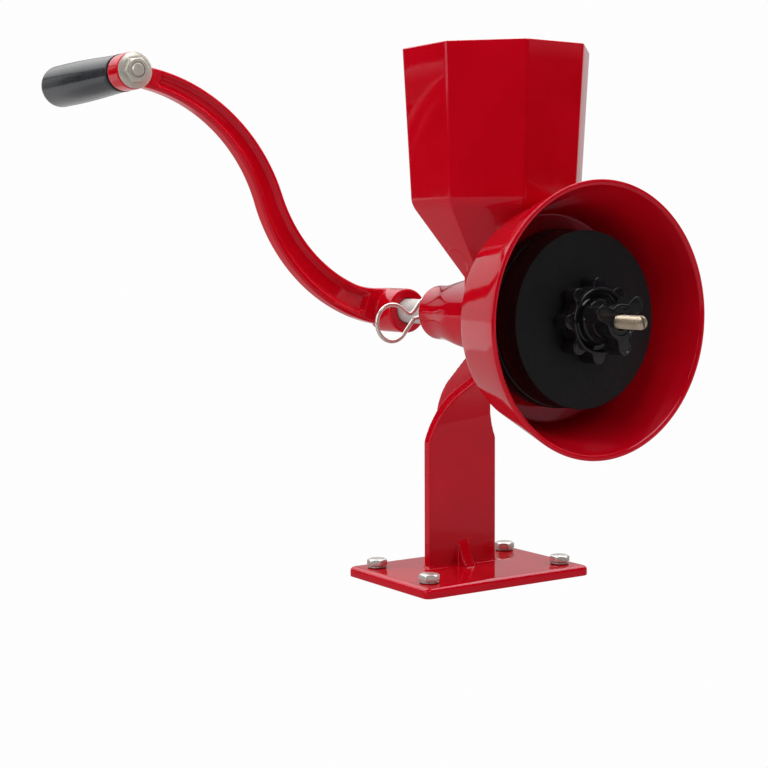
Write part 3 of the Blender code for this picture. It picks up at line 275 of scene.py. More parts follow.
def steel_finish(name, colour, roughness=0.22, scratch=0.6 * mm, dull=0.08, centre=None, metal=0.6):
    """Plated or turned steel: hazy patches, fine marks in rings round a centre line or at random."""
    darker = tuple(part * 0.88 for part in colour)
    marks = (0.001 * mm, scratch, 3.0, 0.5, None, centre)
    return coat(name, (darker, colour), (3.0 * mm, 4.0), (roughness, roughness + dull), (1.6 * mm, 3.0),
                [marks], Metallic=metal)


def about(centre, radius, angle, level, axis="Y"):
    """A point at a radius and an angle round a line along Y or Z through a centre."""
    a, b = radius * math.cos(angle), radius * math.sin(angle)
    if axis == "Z":
        return centre[0] + a, centre[1] + b, level
    return centre[0] + a, level, centre[2] + b


def spin(profile, segments=128, axis="Y", centre=(0.0, 0.0, 0.0)):
    """A closed profile of (place along the axis, radius) pairs, spun about Y or Z."""
    bm = loft([[about(centre, radius, full_turn * step / segments, along, axis) for step in range(segments)]
               for along, radius in profile], closed=True)
    bmesh.ops.remove_doubles(bm, verts=bm.verts, dist=0.0005 * mm)
    return bm


def hex_head(name, centre, flats, base, top, turn, axis, drop):
    """A hexagon whose corners are turned down by a shallow cone, as on a forged head."""
    corner = flats / math.sqrt(3.0)
    angles = [math.radians(turn) + full_turn * side / 6.0 for side in range(6)]
    rings = [[about(centre, corner, angle, level, axis) for angle in angles] for level in (base, top)]
    head = solid(name, loft(rings))
    way = 1.0 if top > base else -1.0
    crown = flats * crown_share
    cone = [(base - way * mm, 0.0), (base - way * mm, corner * 1.1), (top - way * drop, corner * 1.01)]
    cone += [(top - way * edge_break, crown), (top, crown - 0.3 * mm), (top, 0.0)]
    combine(head, solid("cone", spin(cone, 96, axis, centre)), "INTERSECT")
    edge = head.modifiers.new("edge", "BEVEL")
    edge.width = edge_break
    edge.segments = 2
    edge.angle_limit = math.radians(28.0)
    settle(head, 30.0)
    return head


def hex_bolt(name, centre, flats, levels, turn, axis, drop, radius):
    """A hex head and its shank, from the levels of the tip, the seat and the top."""
    tip, seat, top = levels
    head = hex_head(name, centre, flats, seat, top, turn, axis, drop)
    ends = [about(centre, 0.0, 0.0, level, axis) for level in (tip, seat + mm)]
    combine(head, solid("shank", rod(*ends, radius)), "UNION")
    settle(head, 30.0)
    return head


zinc = (0.80, 0.785, 0.74)
bolt_steel = steel_finish("bright_steel_bolts", zinc, 0.2)
washer_steel = steel_finish("bright_steel_washers", (0.42, 0.41, 0.39), 0.26, 0.4 * mm)
for number, ((x, y), turn) in enumerate(zip(bolt_spots, bolt_turns), 1):
    spot = Vector((x, y, 0.0))
    head = hex_bolt(f"hex_bolt_{number}", spot, head_flats, bolt_levels, turn, "Z", head_drop, shank_radius)
    fit(head, "frame", [f"base_bolt_{number}"], bolt_steel)
    round_middle = washer_radius - washer_round
    ring = [(washer_low, washer_bore), (washer_low, round_middle)]
    ring += arc(washer_low + washer_round, round_middle, washer_round, 180.0, 90.0, 3)
    ring += arc(washer_high - washer_round, round_middle, washer_round, 90.0, 0.0, 3)
    washer = solid(f"plain_washer_{number}", spin(ring + [(washer_high, washer_bore)], 72, "Z", spot))
    fit(washer, "frame", [f"base_washer_{number}"], washer_steel)

# Leg
# One T-shaped casting: a wide front flange that bends forward and narrows under the barrel,
# a web behind it, and a small gusset in front. Cast corners are soft and the foot is filleted.
shaft_z = 156.0 * mm
flange_front = 5.8 * mm
flange_thick = 5.6 * mm
flange_half = 24.5 * mm
flange_tip_half = 3.1 * mm
flange_straight = 81.2 * mm
flange_bend_radius = 36.0 * mm
flange_bend = 50.0
flange_slope = 24.0 * mm
web_half = 3.0 * mm
web_rear = 29.5 * mm
web_straight = 87.5 * mm
web_bend_radius = 37.8 * mm
web_slope = 40.0 * mm
web_lead = 20.0 * mm
gusset_high = 14.0 * mm
gusset_reach = 8.0 * mm
gusset_half = 3.6 * mm
gusset_nose = 1.6 * mm
gusset_bow = 0.45
foot_fillet = 1.5 * mm
barrel_radius = 20.5 * mm
casting_grain = 0.5 * mm


def leg_stations(steps=28):
    """(y, z, lean, share of the way to the tip) along the flange's front face."""
    stations = [(flange_front, flange_straight * share, 0.0, 0.0) for share in (0.16, 0.4, 0.7)]
    bend = math.radians(flange_bend)
    total = flange_bend_radius * bend + flange_slope
    for step in range(steps + 1):
        lean = bend * step / steps
        y = flange_front - flange_bend_radius * (1.0 - math.cos(lean))
        z = flange_straight + flange_bend_radius * math.sin(lean)
        stations.append((y, z, lean, flange_bend_radius * lean / total))
    y, z, lean, share = stations[-1]
    run = web_lead + flange_slope
    stations.append((y - flange_slope * math.sin(lean), z + flange_slope * math.cos(lean), lean, 1.0))
    return stations, (y - run * math.sin(lean), z + run * math.cos(lean))


def box_ring(half, y_front, y_back, z):
    """A level rectangle about the middle plane."""
    return [(-half, y_front, z), (half, y_front, z), (half, y_back, z), (-half, y_back, z)]


def side_plate(outline, half):
    """An upright plate about the middle plane, from its outline seen from the side."""
    return loft([[(side * half, y, z) for y, z in outline] for side in (-1.0, 1.0)])


stations, web_front_end = leg_stations()
foot_z = plate_top - 0.1 * mm


def fillet_steps(radius, steps=6):
    """(growth, height) pairs of a concave fillet that runs out at its radius."""
    pairs = []
    for step in range(steps + 1):
        turn = math.radians(90.0 * step / steps)
        pairs.append((radius * (1.0 - math.sin(turn)), radius * (1.0 - math.cos(turn))))
    return pairs


flange_rings = []
for grow, up in fillet_steps(foot_fillet):
    front, back = flange_front - grow, flange_front + flange_thick + grow
    flange_rings.append(box_ring(flange_half + grow, front, back, foot_z + up))
for y, z, lean, share in stations:
    half = flange_half + (flange_tip_half - flange_half) * share
    back_y, back_z = y + flange_thick * math.cos(lean), z + flange_thick * math.sin(lean)
    flange_rings.append([(-half, y, z), (half, y, z), (half, back_y, back_z), (-half, back_y, back_z)])

middle_y = flange_front + flange_thick / 2.0
web = [(middle_y, foot_z), (web_rear, foot_z)]
web += arc(web_rear - web_bend_radius, web_straight, web_bend_radius, 0.0, flange_bend, 24)
y, z = web[-1]
bend = math.radians(flange_bend)
web += [(y - web_slope * math.sin(bend), z + web_slope * math.cos(bend)), web_front_end]
for y, z, lean, share in reversed(stations):
    web.append((y + flange_thick / 2.0 * math.cos(lean), z + flange_thick / 2.0 * math.sin(lean)))
web_foot = [box_ring(web_half + grow, middle_y - flange_thick, web_rear + grow, foot_z + up)
            for grow, up in fillet_steps(foot_fillet)]
gusset = [(middle_y, foot_z), (middle_y, foot_z + gusset_high)]
gusset.append((flange_front - gusset_nose * 0.4, foot_z + gusset_high))
gusset.append((flange_front - gusset_nose, foot_z + gusset_high - gusset_nose))
for step in range(1, 9):
    share = step / 8.0
    bowed = (1.0 - gusset_bow) * share + gusset_bow * share ** 2
    reach = gusset_nose + (gusset_reach - gusset_nose) * bowed
    gusset.append((flange_front - reach, foot_z + (gusset_high - gusset_nose) * (1.0 - share)))


def gather(bodies):
    """One bmesh of several closed skins, each facing outwards."""
    whole = bmesh.new()
    for bm in bodies:
        bmesh.ops.recalc_face_normals(bm, faces=bm.faces)
        part = bpy.data.meshes.new("part")
        bm.to_mesh(part)
        bm.free()
        whole.from_mesh(part)
        bpy.data.meshes.remove(part)
    return whole


def cast(obj, grain, passes, factor=0.5):
    """Melts overlapping bodies into one skin, and rounds its corners as sand casting does."""
    remesh = obj.modifiers.new("skin", "REMESH")
    remesh.mode = "VOXEL"
    remesh.voxel_size = grain
    soften = obj.modifiers.new("soften", "SMOOTH")
    soften.factor = factor
    soften.iterations = passes
    settle(obj)
    obj.data.shade_smooth()


leg_bodies = [side_plate(web, web_half), loft(web_foot), side_plate(gusset, gusset_half), loft(flange_rings)]
leg = solid("leg_casting", gather(leg_bodies))
cast(leg, casting_grain, 7)

# Barrel casting
# The shaft's housing: a rounded boss at the rear, a waist that flares out to the barrel,
# and the flange that the bell is screwed to. Cast, then bored from both ends.
boss_rear = 28.9 * mm
boss_radius = 16.3 * mm
boss_edge = 1.2 * mm
flare_rear = 23.0 * mm
flare_front = -6.0 * mm
boss_bore = 10.3 * mm
back_wall = -9.0 * mm
barrel_bore = 16.5 * mm
flange_rear = -63.7 * mm
flange_face = -70.7 * mm
flange_radius = 42.0 * mm
flange_fillet = 3.0 * mm
flange_round = 0.8 * mm
seat_play = 0.15 * mm
seat_past = 4.0 * mm
shaft = Vector((0.0, 0.0, shaft_z))


def turned(name, profile, segments=96, centre=shaft, crease=38.0):
    """A solid turned about a line along Y, from a profile of (y, radius) pairs."""
    return solid(name, spin(profile, segments, "Y", centre), crease)


def ease(share):
    """A share from 0 to 1, made to start and end gently."""
    return share * share * (3.0 - 2.0 * share)


outline = arc(boss_rear - boss_edge, boss_radius - boss_edge, boss_edge, 0.0, 90.0, 8)
for step in range(25):
    share = step / 24.0
    radius = boss_radius + (barrel_radius - boss_radius) * ease(share)
    outline.append((flare_rear + (flare_front - flare_rear) * share, radius))
outline += arc(flange_rear + flange_fillet, barrel_radius + flange_fillet, flange_fillet, 270.0, 180.0, 8)
outline += arc(flange_rear - flange_round, flange_radius - flange_round, flange_round, 0.0, 90.0, 4)
outline.append((flange_face, flange_radius))
seat = [(boss_rear + seat_past, 0.0), (boss_rear + seat_past, outline[0][1])]
seat += [(along, radius - seat_play) for along, radius in outline] + [(flange_face, 0.0)]
combine(leg, turned("seat", seat, 160))
fit(leg, "frame", ["leg"], enamel_finish("red_enamel_leg"))

bore = [(flange_face, barrel_bore), (back_wall, barrel_bore), (back_wall, boss_bore), (boss_rear, boss_bore)]
barrel = turned("barrel_casting", outline + bore, 160)

# Hopper
# An eight-sided cast hopper: slightly flared walls over a steep funnel, rounded upright edges,
# a soft rim and a soft crease at the waist. Its neck stands in a saddle on the barrel.
hopper_y = -26.6 * mm
hopper_top = 306.0 * mm
hopper_waist = 219.2 * mm
hopper_neck = 178.0 * mm
hopper_foot = 164.0 * mm
hopper_half_x = 51.4 * mm
hopper_half_y = 51.9 * mm
hopper_cut = 31.7 * mm
waist_share = 0.91
neck_share = 0.347
hopper_wall = 3.0 * mm
hopper_edge = 3.4 * mm
hopper_lip = 0.9 * mm
waist_blend = 3.5 * mm
saddle_radius = barrel_radius - 0.1 * mm


def octagon(share, inset, z, steps=7):
    """A ring of the hopper at a share of its top size, with rounded upright edges."""
    half_x = hopper_half_x * share - inset
    half_y = hopper_half_y * share - inset
    cut = hopper_cut * share - inset * (2.0 - math.sqrt(2.0))
    side = [(half_x, half_y - cut), (half_x - cut, half_y)]
    upper = side + [(-x, y) for x, y in reversed(side)]
    corners = upper + [(-x, -y) for x, y in upper]
    radius = hopper_edge * share
    points = []
    for index, (x, y) in enumerate(corners):
        here = Vector((x, y))
        before = (Vector(corners[index - 1]) - here).normalized()
        after = (Vector(corners[(index + 1) % 8]) - here).normalized()
        half_angle = before.angle(after) / 2.0
        centre = here + (before + after).normalized() * radius / math.sin(half_angle)
        start = here + before * radius / math.tan(half_angle) - centre
        end = here + after * radius / math.tan(half_angle) - centre
        for step in range(steps + 1):
            spot = centre + start.lerp(end, step / steps).normalized() * radius
            points.append((spot.x, hopper_y + spot.y, z))
    return points


def hopper_share(z):
    """The hopper's size at a height, with its waist blended over a few millimetres."""
    upper = (1.0 - waist_share) / (hopper_top - hopper_waist)
    lower = (waist_share - neck_share) / (hopper_waist - hopper_neck)
    above = z - hopper_waist
    if above >= waist_blend:
        return waist_share + upper * above
    if above <= -waist_blend:
        return max(neck_share, waist_share + lower * above)
    t = (above + waist_blend) / (2.0 * waist_blend)
    low, high = waist_share - lower * waist_blend, waist_share + upper * waist_blend
    return (1.0 - t) ** 2 * low + 2.0 * t * (1.0 - t) * waist_share + t * t * high


waist_low, waist_high = hopper_waist - waist_blend, hopper_waist + waist_blend
lip_low = hopper_top - hopper_lip
levels = [hopper_foot, hopper_neck - 4.0 * mm, hopper_neck]
levels += [hopper_neck + (waist_low - hopper_neck) * step / 8 for step in range(1, 8)]
levels += [hopper_waist + waist_blend * step / 6.0 for step in range(-6, 7)]
levels += [waist_high + (lip_low - waist_high) * step / 10 for step in range(1, 11)]
hopper_rings = [octagon(hopper_share(z), 0.0, z) for z in levels]
hopper_rings += [octagon(1.0, hopper_lip - out, lip_low + up)
                 for out, up in arc(0.0, 0.0, hopper_lip, 0.0, 90.0, 4)[1:]]
hopper_rings += [octagon(1.0, hopper_wall - hopper_lip + out, lip_low + up)
                 for out, up in arc(0.0, 0.0, hopper_lip, 90.0, 0.0, 4)]
hopper_rings += [octagon(hopper_share(z), hopper_wall, z) for z in reversed(levels[:-1])]
hopper = solid("hopper_casting", loft(hopper_rings, closed=True), 60.0)
front, rear = hopper_y - hopper_half_y, hopper_y + hopper_half_y
saddle = [(front, 0.0), (front, saddle_radius), (rear, saddle_radius), (rear, 0.0)]
combine(hopper, turned("saddle", saddle, 160))
fit(hopper, "frame", ["hopper"], enamel_finish("red_enamel_hopper", 16.0 * mm))

throat_z = (shaft_z + barrel_bore / 2.0, shaft_z + barrel_radius + 3.0 * mm)
combine(barrel, solid("throat", loft([octagon(neck_share, hopper_wall, z) for z in throat_z])))

# Flour bell
# A spun and enamelled bell that catches the flour: flat back, rounded shoulder, straight cone
# and a rolled lip. Three hex screws behind the flange hold it and the stone holder to the barrel.
bell_rim_y = -118.3 * mm
bell_rim_radius = 74.6 * mm
bell_shoulder_y = -74.8 * mm
bell_shoulder_radius = 61.3 * mm
bell_wall = 3.0 * mm
bell_back = -71.0 * mm
bell_floor = -74.0 * mm
bell_shoulder_round = 6.0 * mm
bell_lip = 0.8 * mm
bell_lip_inside = 1.9 * mm
bell_floor_fillet = 2.0 * mm
bell_slices = [-84.0 * mm, -92.0 * mm, -100.0 * mm, -108.0 * mm]
holder_rear = -74.3 * mm
holder_front = -77.3 * mm
holder_eye = 17.2 * mm
holder_radius = 44.0 * mm
screw_circle = 35.2 * mm
screw_radius = 2.5 * mm
screw_hole = 2.8 * mm
screw_flats = 8.0 * mm
screw_drop = 0.7 * mm
screw_levels = (-77.0 * mm, -63.4 * mm, -59.8 * mm)

cone_slope = (bell_rim_radius - bell_shoulder_radius) / (bell_shoulder_y - bell_rim_y)
cone_length = math.sqrt(1.0 + cone_slope * cone_slope)
cone_lean = math.degrees(math.atan(cone_slope))
outward = 90.0 - cone_lean


def cone_radius(y, inset):
    """The cone's radius at a place along the shaft, at a depth under its outside."""
    return bell_rim_radius + cone_slope * (bell_rim_y - y) - inset * cone_length


def bell_arc(y, inset, radius, start, end, steps):
    """A rounded corner of the bell, its centre at a depth under the cone's outside."""
    return arc(y, cone_radius(y, inset), radius, start, end, steps)


bell = bell_arc(bell_back - bell_shoulder_round, bell_shoulder_round, bell_shoulder_round, 0.0, outward, 12)
bell += [(y, cone_radius(y, 0.0)) for y in bell_slices]
bell += bell_arc(bell_rim_y + bell_lip, bell_lip, bell_lip, outward, 180.0, 8)
bell += bell_arc(bell_rim_y + bell_lip_inside, bell_wall - bell_lip_inside, bell_lip_inside,
                 180.0, 180.0 + outward, 8)
bell += [(y, cone_radius(y, bell_wall)) for y in reversed(bell_slices)]
bell += bell_arc(bell_floor - bell_floor_fillet, bell_wall + bell_floor_fillet, bell_floor_fillet,
                 outward, 0.0, 8)
bell += [(bell_floor, barrel_bore), (bell_back, barrel_bore)]
bell = turned("bell_spinning", bell, 224, crease=60.0)
holder = [(holder_rear, holder_eye), (holder_rear, holder_radius)]
holder += [(holder_front, holder_radius), (holder_front, holder_eye)]
holder = turned("stone_holder_plate", holder, 128)
for index in range(3):
    spot = Vector(about(shaft, screw_circle, math.radians(30.0 + 120.0 * index), 0.0))
    for carrier in (barrel, bell, holder):
        ends = [(spot.x, y, spot.z) for y in (screw_levels[0] - mm, screw_levels[1] + 3.0 * mm)]
        drill(carrier, *ends, screw_hole)
    turn = 14.0 + 21.0 * index
    name = f"bell_screw_{index + 1}"
    screw = hex_bolt(name, spot, screw_flats, screw_levels, turn, "Y", screw_drop, screw_radius)
    fit(screw, "frame", [f"clamp_screw_{index + 1}"], bolt_steel)
for part in (barrel, bell):
    settle(part, 50.0)
fit(barrel, "frame", ["mill_barrel"], enamel_finish("red_enamel_barrel"))
fit(bell, "frame", ["flour_bell"], enamel_finish("red_enamel_bell", 14.0 * mm))


def cast_iron_finish(name, colour, grain=0.7 * mm):
    """Bare grey casting with a sandy skin."""
    darker = tuple(part * 0.6 for part in colour)
    return coat(name, (darker, colour), (5.0 * mm, 4.0), (0.42, 0.62), (grain, 4.0),
                [(0.06 * mm, grain, 4.0, 0.7)], Metallic=0.85)


casting_grey = (0.30, 0.30, 0.31)
holder_iron = cast_iron_finish("grey_casting_holder", casting_grey)
fit(holder, "frame", ["stone_holder"], holder_iron)

# Shaft bushes
# Two plain turned bronze bushes pressed into the boss from both ends.
bush_bore = 7.8 * mm
bush_radius = 10.0 * mm
bush_chamfer = 0.4 * mm
bush_places = {"inner_bush": (-9.0 * mm, 3.0 * mm), "rear_bush": (15.1 * mm, 27.1 * mm)}


def turned_ring(low, high, bore, radius, chamfer):
    """The section of a turned bush, washer or pin with both outer edges chamfered."""
    ring = [(low, bore), (low, radius - chamfer), (low + chamfer, radius)]
    return ring + [(high - chamfer, radius), (high, radius - chamfer), (high, bore)]


bronze = steel_finish("bush_bronze_turned", (0.50, 0.32, 0.14), 0.3, 0.5 * mm, 0.16, shaft)
for name, (low, high) in bush_places.items():
    bush = turned(name + "_turned", turned_ring(low, high, bush_bore, bush_radius, bush_chamfer))
    fit(bush, "frame", [name], bronze)

# Fixed stone
# A bonded grinding stone of fine dark grit with a smooth rim, cemented to its holder.
stone_rear = -77.6 * mm
stone_front = -87.2 * mm
stone_radius = 48.8 * mm
stone_eye = 17.2 * mm
stone_edge = 1.0 * mm


def stone_finish(name):
    """Dark bonded stone: near black, with fine lighter grit."""
    return coat(name, ((0.0045, 0.0045, 0.0055), (0.0075, 0.0075, 0.0085)), (8.0 * mm, 3.0), (0.32, 0.45),
                (2.5 * mm, 4.0), [(0.006 * mm, 0.8 * mm, 3.0)],
                specks=((0.014, 0.013, 0.013), 0.7 * mm, 2.0, 0.5, (0.62, 0.75)), IOR=1.5)


def worn_corner(face, inward, radius, edge):
    """A turned piece's outer corner, worn soft, from its face to its rim."""
    middle = (face + inward * edge * 0.3, radius - edge * 0.3)
    return [(face, radius - edge), middle, (face + inward * edge, radius)]


def grindstone(name, rear, front, eye, radius):
    """A flat stone ring with soft outer corners."""
    ring = [(rear, eye)] + worn_corner(rear, -1.0, radius, stone_edge)
    ring += worn_corner(front, 1.0, radius, stone_edge)[::-1] + [(front, eye)]
    return turned(name, ring, 192, crease=30.0)


stone = grindstone("stone_fixed", stone_rear, stone_front, stone_eye, stone_radius)
fit(stone, "frame", ["fixed_stone"], stone_finish("dark_stone_fixed"))

# Main shaft
# Ground steel bar with chamfered ends, cross-drilled for the hairpin clip and the drive pin,
# tapped at both ends and keyed for the crank.
shaft_radius = 7.5 * mm
shaft_front = -102.6 * mm
shaft_rear = 88.6 * mm
shaft_chamfer = 0.8 * mm
tapping = 4.25 * mm
stud_depth = 12.6 * mm
bolt_depth = 18.0 * mm
clip_y = 32.1 * mm
clip_hole = 1.5 * mm
clip_lean = math.radians(12.0)
pin_y = -86.0 * mm
pin_hole = 2.7 * mm
key_gap = 0.3 * mm
key_half = 2.0 * mm
key_front = 73.9 * mm
key_middle = shaft_z + shaft_radius

bar = [(shaft_front + stud_depth, 0.0), (shaft_front + stud_depth, tapping), (shaft_front, tapping)]
bar += [(shaft_front, shaft_radius - shaft_chamfer), (shaft_front + shaft_chamfer, shaft_radius)]
bar += [(shaft_rear - shaft_chamfer, shaft_radius), (shaft_rear, shaft_radius - shaft_chamfer)]
bar += [(shaft_rear, tapping), (shaft_rear - bolt_depth, tapping), (shaft_rear - bolt_depth, 0.0)]
bar = turned("shaft_bar", bar)
for y, radius, lean in ((clip_y, clip_hole, clip_lean), (pin_y, pin_hole, 0.0)):
    reach = Vector((2.0 * shaft_radius * math.cos(lean), 0.0, 2.0 * shaft_radius * math.sin(lean)))
    ends = [Vector((0.0, y, shaft_z)) + side * reach for side in (-1.0, 1.0)]
    drill(bar, *ends, radius)


def block(low, high):
    """A plain block between two corners."""
    (x0, y0, z0), (x1, y1, z1) = low, high
    return loft([[(x0, y0, z), (x1, y0, z), (x1, y1, z), (x0, y1, z)] for z in (z0, z1)])


key_half_slot = key_half + key_gap
keyway = ((-key_half_slot, key_front - key_gap, key_middle - key_half_slot),
          (key_half_slot, shaft_rear + 3.0 * mm, key_middle + key_half_slot))
combine(bar, solid("keyway", block(*keyway)))
settle(bar, 30.0)
satin_shaft = steel_finish("shaft_grey_ground", (0.60, 0.59, 0.56), 0.42, 0.35 * mm, 0.08, metal=0.3)
fit(bar, "crank", ["main_shaft"], satin_shaft)

# Feed auger, drive pin and thrust washer
# A cast feed screw slid over the shaft under the hopper; a hardened pin through the shaft that
# turns the front stone; and the washer that the hairpin clip bears on.
auger_rear = -11.2 * mm
auger_front = -79.0 * mm
auger_sleeve = 10.4 * mm
auger_flight = 15.7 * mm
auger_turns = 2.75
auger_root_half = 1.9 * mm
auger_tip_half = 0.95 * mm
auger_edge = 0.4 * mm

sleeve = [(auger_rear, bush_bore), (auger_rear, auger_sleeve)]
sleeve += [(auger_front, auger_sleeve), (auger_front, bush_bore)]
auger = turned("auger_casting", sleeve)
root = (bush_bore + auger_sleeve) / 2.0
section = [(root, -auger_root_half), (auger_flight - auger_edge, -auger_tip_half)]
section.append((auger_flight, -auger_edge))
section += [(radius, -offset) for radius, offset in reversed(section)]
steps = int(auger_turns * 72)
flight_start = auger_rear - auger_root_half
flight_run = auger_front - auger_rear + 2.0 * auger_root_half
flight = []
for step in range(steps + 1):
    angle = full_turn * auger_turns * step / steps
    along = flight_start + flight_run * step / steps
    flight.append([about(shaft, radius, -angle, along + offset) for radius, offset in section])
combine(auger, solid("flight", loft(flight)), "UNION")
settle(auger, 35.0)
auger_iron = cast_iron_finish("grey_casting_auger", casting_grey, 0.5 * mm)
fit(auger, "crank", ["feed_auger"], auger_iron)

pin_half = 12.3 * mm
pin_radius = 2.4 * mm
pin_chamfer = 0.5 * mm
pin = spin(turned_ring(-pin_half, pin_half, 0.0, pin_radius, pin_chamfer), 48, "Z")
bmesh.ops.rotate(pin, verts=pin.verts, matrix=Matrix.Rotation(math.pi / 2.0, 3, "Y"))
bmesh.ops.translate(pin, verts=pin.verts, vec=(0.0, pin_y, shaft_z))
hard_pin = steel_finish("bright_steel_pin", zinc, 0.2)
fit(solid("drive_pin_hardened", pin), "crank", ["drive_pin"], hard_pin)

thrust_y = (29.2 * mm, 30.6 * mm)
thrust_radius = 12.6 * mm
thrust_chamfer = 0.3 * mm
turned_zinc = steel_finish("bright_steel_turned", zinc, 0.2, 0.45 * mm, 0.14, shaft)
thrust = turned("thrust_washer_turned", turned_ring(*thrust_y, bush_bore, thrust_radius, thrust_chamfer))
fit(thrust, "crank", ["thrust_washer"], turned_zinc)

# Hairpin clip
# One piece of bright spring wire: a straight leg through the shaft's cross hole, a round loop,
# and a sprung leg that bows over the shaft and flares out at its tip.
wire_radius = 1.2 * mm
loop_radius = 10.9 * mm
loop_x = -32.6 * mm
loop_drop = 5.6 * mm
loop_start = -42.0
loop_sweep = 256.0
neck = (-19.4 * mm, -0.5 * mm)
rise = (-12.2 * mm, 6.4 * mm)
bow_radius = 12.3 * mm
leg_reach = 15.0 * mm
leg_end = (leg_reach * math.cos(clip_lean), leg_reach * math.sin(clip_lean))
leg_bend = (-leg_end[0], -leg_end[1])
leg_corner = (-17.2 * mm, -4.0 * mm)
sprung_tip = (14.0 * mm, 9.5 * mm)


def smooth_run(points, steps):
    """A smooth curve through all but the first and last of a few points."""
    run = []
    for i in range(1, len(points) - 2):
        p0, p1, p2, p3 = (Vector(points[i + k]) for k in (-1, 0, 1, 2))
        for step in range(steps):
            t = step / steps
            run.append(0.5 * (2.0 * p1 + (p2 - p0) * t + (2.0 * p0 - 5.0 * p1 + 4.0 * p2 - p3) * t * t
                              + (3.0 * p1 - p0 - 3.0 * p2 + p3) * t ** 3))
    run.append(Vector(points[-2]))
    return run


loop = arc(loop_x, -loop_drop, loop_radius, loop_start, loop_start - loop_sweep, 60)
bow = arc(0.0, 0.0, bow_radius, 128.0, 40.0, 24)
route = [Vector(leg_end)] + smooth_run([leg_end, leg_bend, leg_corner, loop[0], loop[1]], 10)
route += [Vector(point) for point in loop[1:-1]]
route += smooth_run([loop[-2], loop[-1], neck, rise, bow[0], bow[1]], 10)
route += [Vector(point) for point in bow[1:]]
route.append(Vector(sprung_tip))
wire = [Vector((point.x, clip_y, shaft_z + point.y)) for point in route]


def tube(path, radius, sides=24):
    """A round wire along points in a plane across Y, with domed ends."""
    rings = []
    last = len(path) - 1
    for index, spot in enumerate(path):
        along = (path[min(index + 1, last)] - path[max(index - 1, 0)]).normalized()
        across = Vector((along.z, 0.0, -along.x))
        level = Vector((0.0, 1.0, 0.0))
        ends = [(0.0, 1.0)]
        if index == 0:
            ends = [(-0.5, 0.5), (-0.3, 0.85)] + ends
        if index == last:
            ends += [(0.3, 0.85), (0.5, 0.5)]
        for push, size in ends:
            ring = []
            for k in range(sides):
                angle = full_turn * k / sides
                around = across * math.cos(angle) + level * math.sin(angle)
                ring.append(spot + (along * push + around * size) * radius)
            rings.append(ring)
    return loft(rings)


clip = solid("hairpin_wire", tube(wire, wire_radius))
drawn_wire = coat("spring_wire_drawn", ((0.80, 0.78, 0.73), (0.88, 0.86, 0.82)), (2.0 * mm, 3.0),
                  (0.14, 0.2), (0.8 * mm, 3.0), [(0.0006 * mm, 0.5 * mm, 2.0)], Metallic=0.7)
fit(clip, "crank", ["hairpin_clip"], drawn_wire)

# Turning stone and its disc
# The front stone, bonded to a disc that is turned with matt black paint; the disc's hub is
# slotted for the drive pin and slides on the shaft.
turning_rear = -87.7 * mm
turning_front = -97.3 * mm
disc_rear = -97.6 * mm
disc_front = -104.0 * mm
disc_radius = 48.0 * mm
disc_edge = 0.5 * mm
hub_radius = 13.0 * mm
hub_rear = -82.8 * mm
slot_depth = 6.6 * mm


def matt_black_finish(name, centre):
    """Matt black paint over faint turning marks, with a dusting of fine pale specks."""
    return coat(name, ((0.0030, 0.0033, 0.0042), (0.0045, 0.0049, 0.0062)), (15.0 * mm, 3.0), (0.5, 0.62),
                (3.0 * mm, 3.0),
                [(0.012 * mm, 0.9 * mm, 2.0, 0.5, None, centre), (0.012 * mm, 0.35 * mm, 2.0)],
                specks=((0.009, 0.009, 0.009), 1.0 * mm, 1.0, 0.5, (0.74, 0.8)),
                IOR=1.45, Specular_IOR_Level=0.4)


front_stone = grindstone("stone_turning", turning_rear, turning_front, hub_radius + 0.3 * mm, disc_radius)
fit(front_stone, "head", ["turning_stone"], stone_finish("dark_stone_turning"))
disc = [(disc_front, bush_bore)] + worn_corner(disc_front, 1.0, disc_radius, disc_edge)
disc += [(disc_rear, disc_radius), (disc_rear, hub_radius)]
disc += [(hub_rear, hub_radius), (hub_rear, bush_bore)]
disc = turned("disc_casting", disc, 224)
slot_half = pin_radius + 0.3 * mm
slot_space = ((-hub_radius - mm, hub_rear - slot_depth, shaft_z - slot_half),
              (hub_radius + mm, hub_rear + mm, shaft_z + slot_half))
combine(disc, solid("slot", block(*slot_space)))
settle(disc, 30.0)
fit(disc, "head", ["stone_disc"], matt_black_finish("black_disc_paint", shaft))

# Threaded stud
# A stud locked into the shaft's end, its 1.25 mm thread cut right up to the slotted tip.
thread_pitch = 1.25 * mm
thread_crest = 3.65 * mm
thread_root = 2.95 * mm
thread_flat = 0.1
thread_flank = 0.78
stud_root = -90.3 * mm
stud_tip = -148.4 * mm
tip_taper = 1.0 * mm
slot_turn = -18.0
stud_slot_half = 0.6 * mm
stud_slot_depth = 1.9 * mm
stud_slot_reach = 5.0 * mm
stud_points = 48


def thread_radius(along, angle):
    """The stud's radius at a place: a thread of rounded form that fades at the tip."""
    phase = (along / thread_pitch + angle / full_turn) % 1.0
    form = 1.0 - abs(2.0 * phase - 1.0)
    form = min(1.0, max(0.0, (form - thread_flat) / thread_flank))
    radius = thread_root + (thread_crest - thread_root) * form
    from_tip = along - stud_tip
    return min(radius, thread_crest - tip_taper + from_tip)


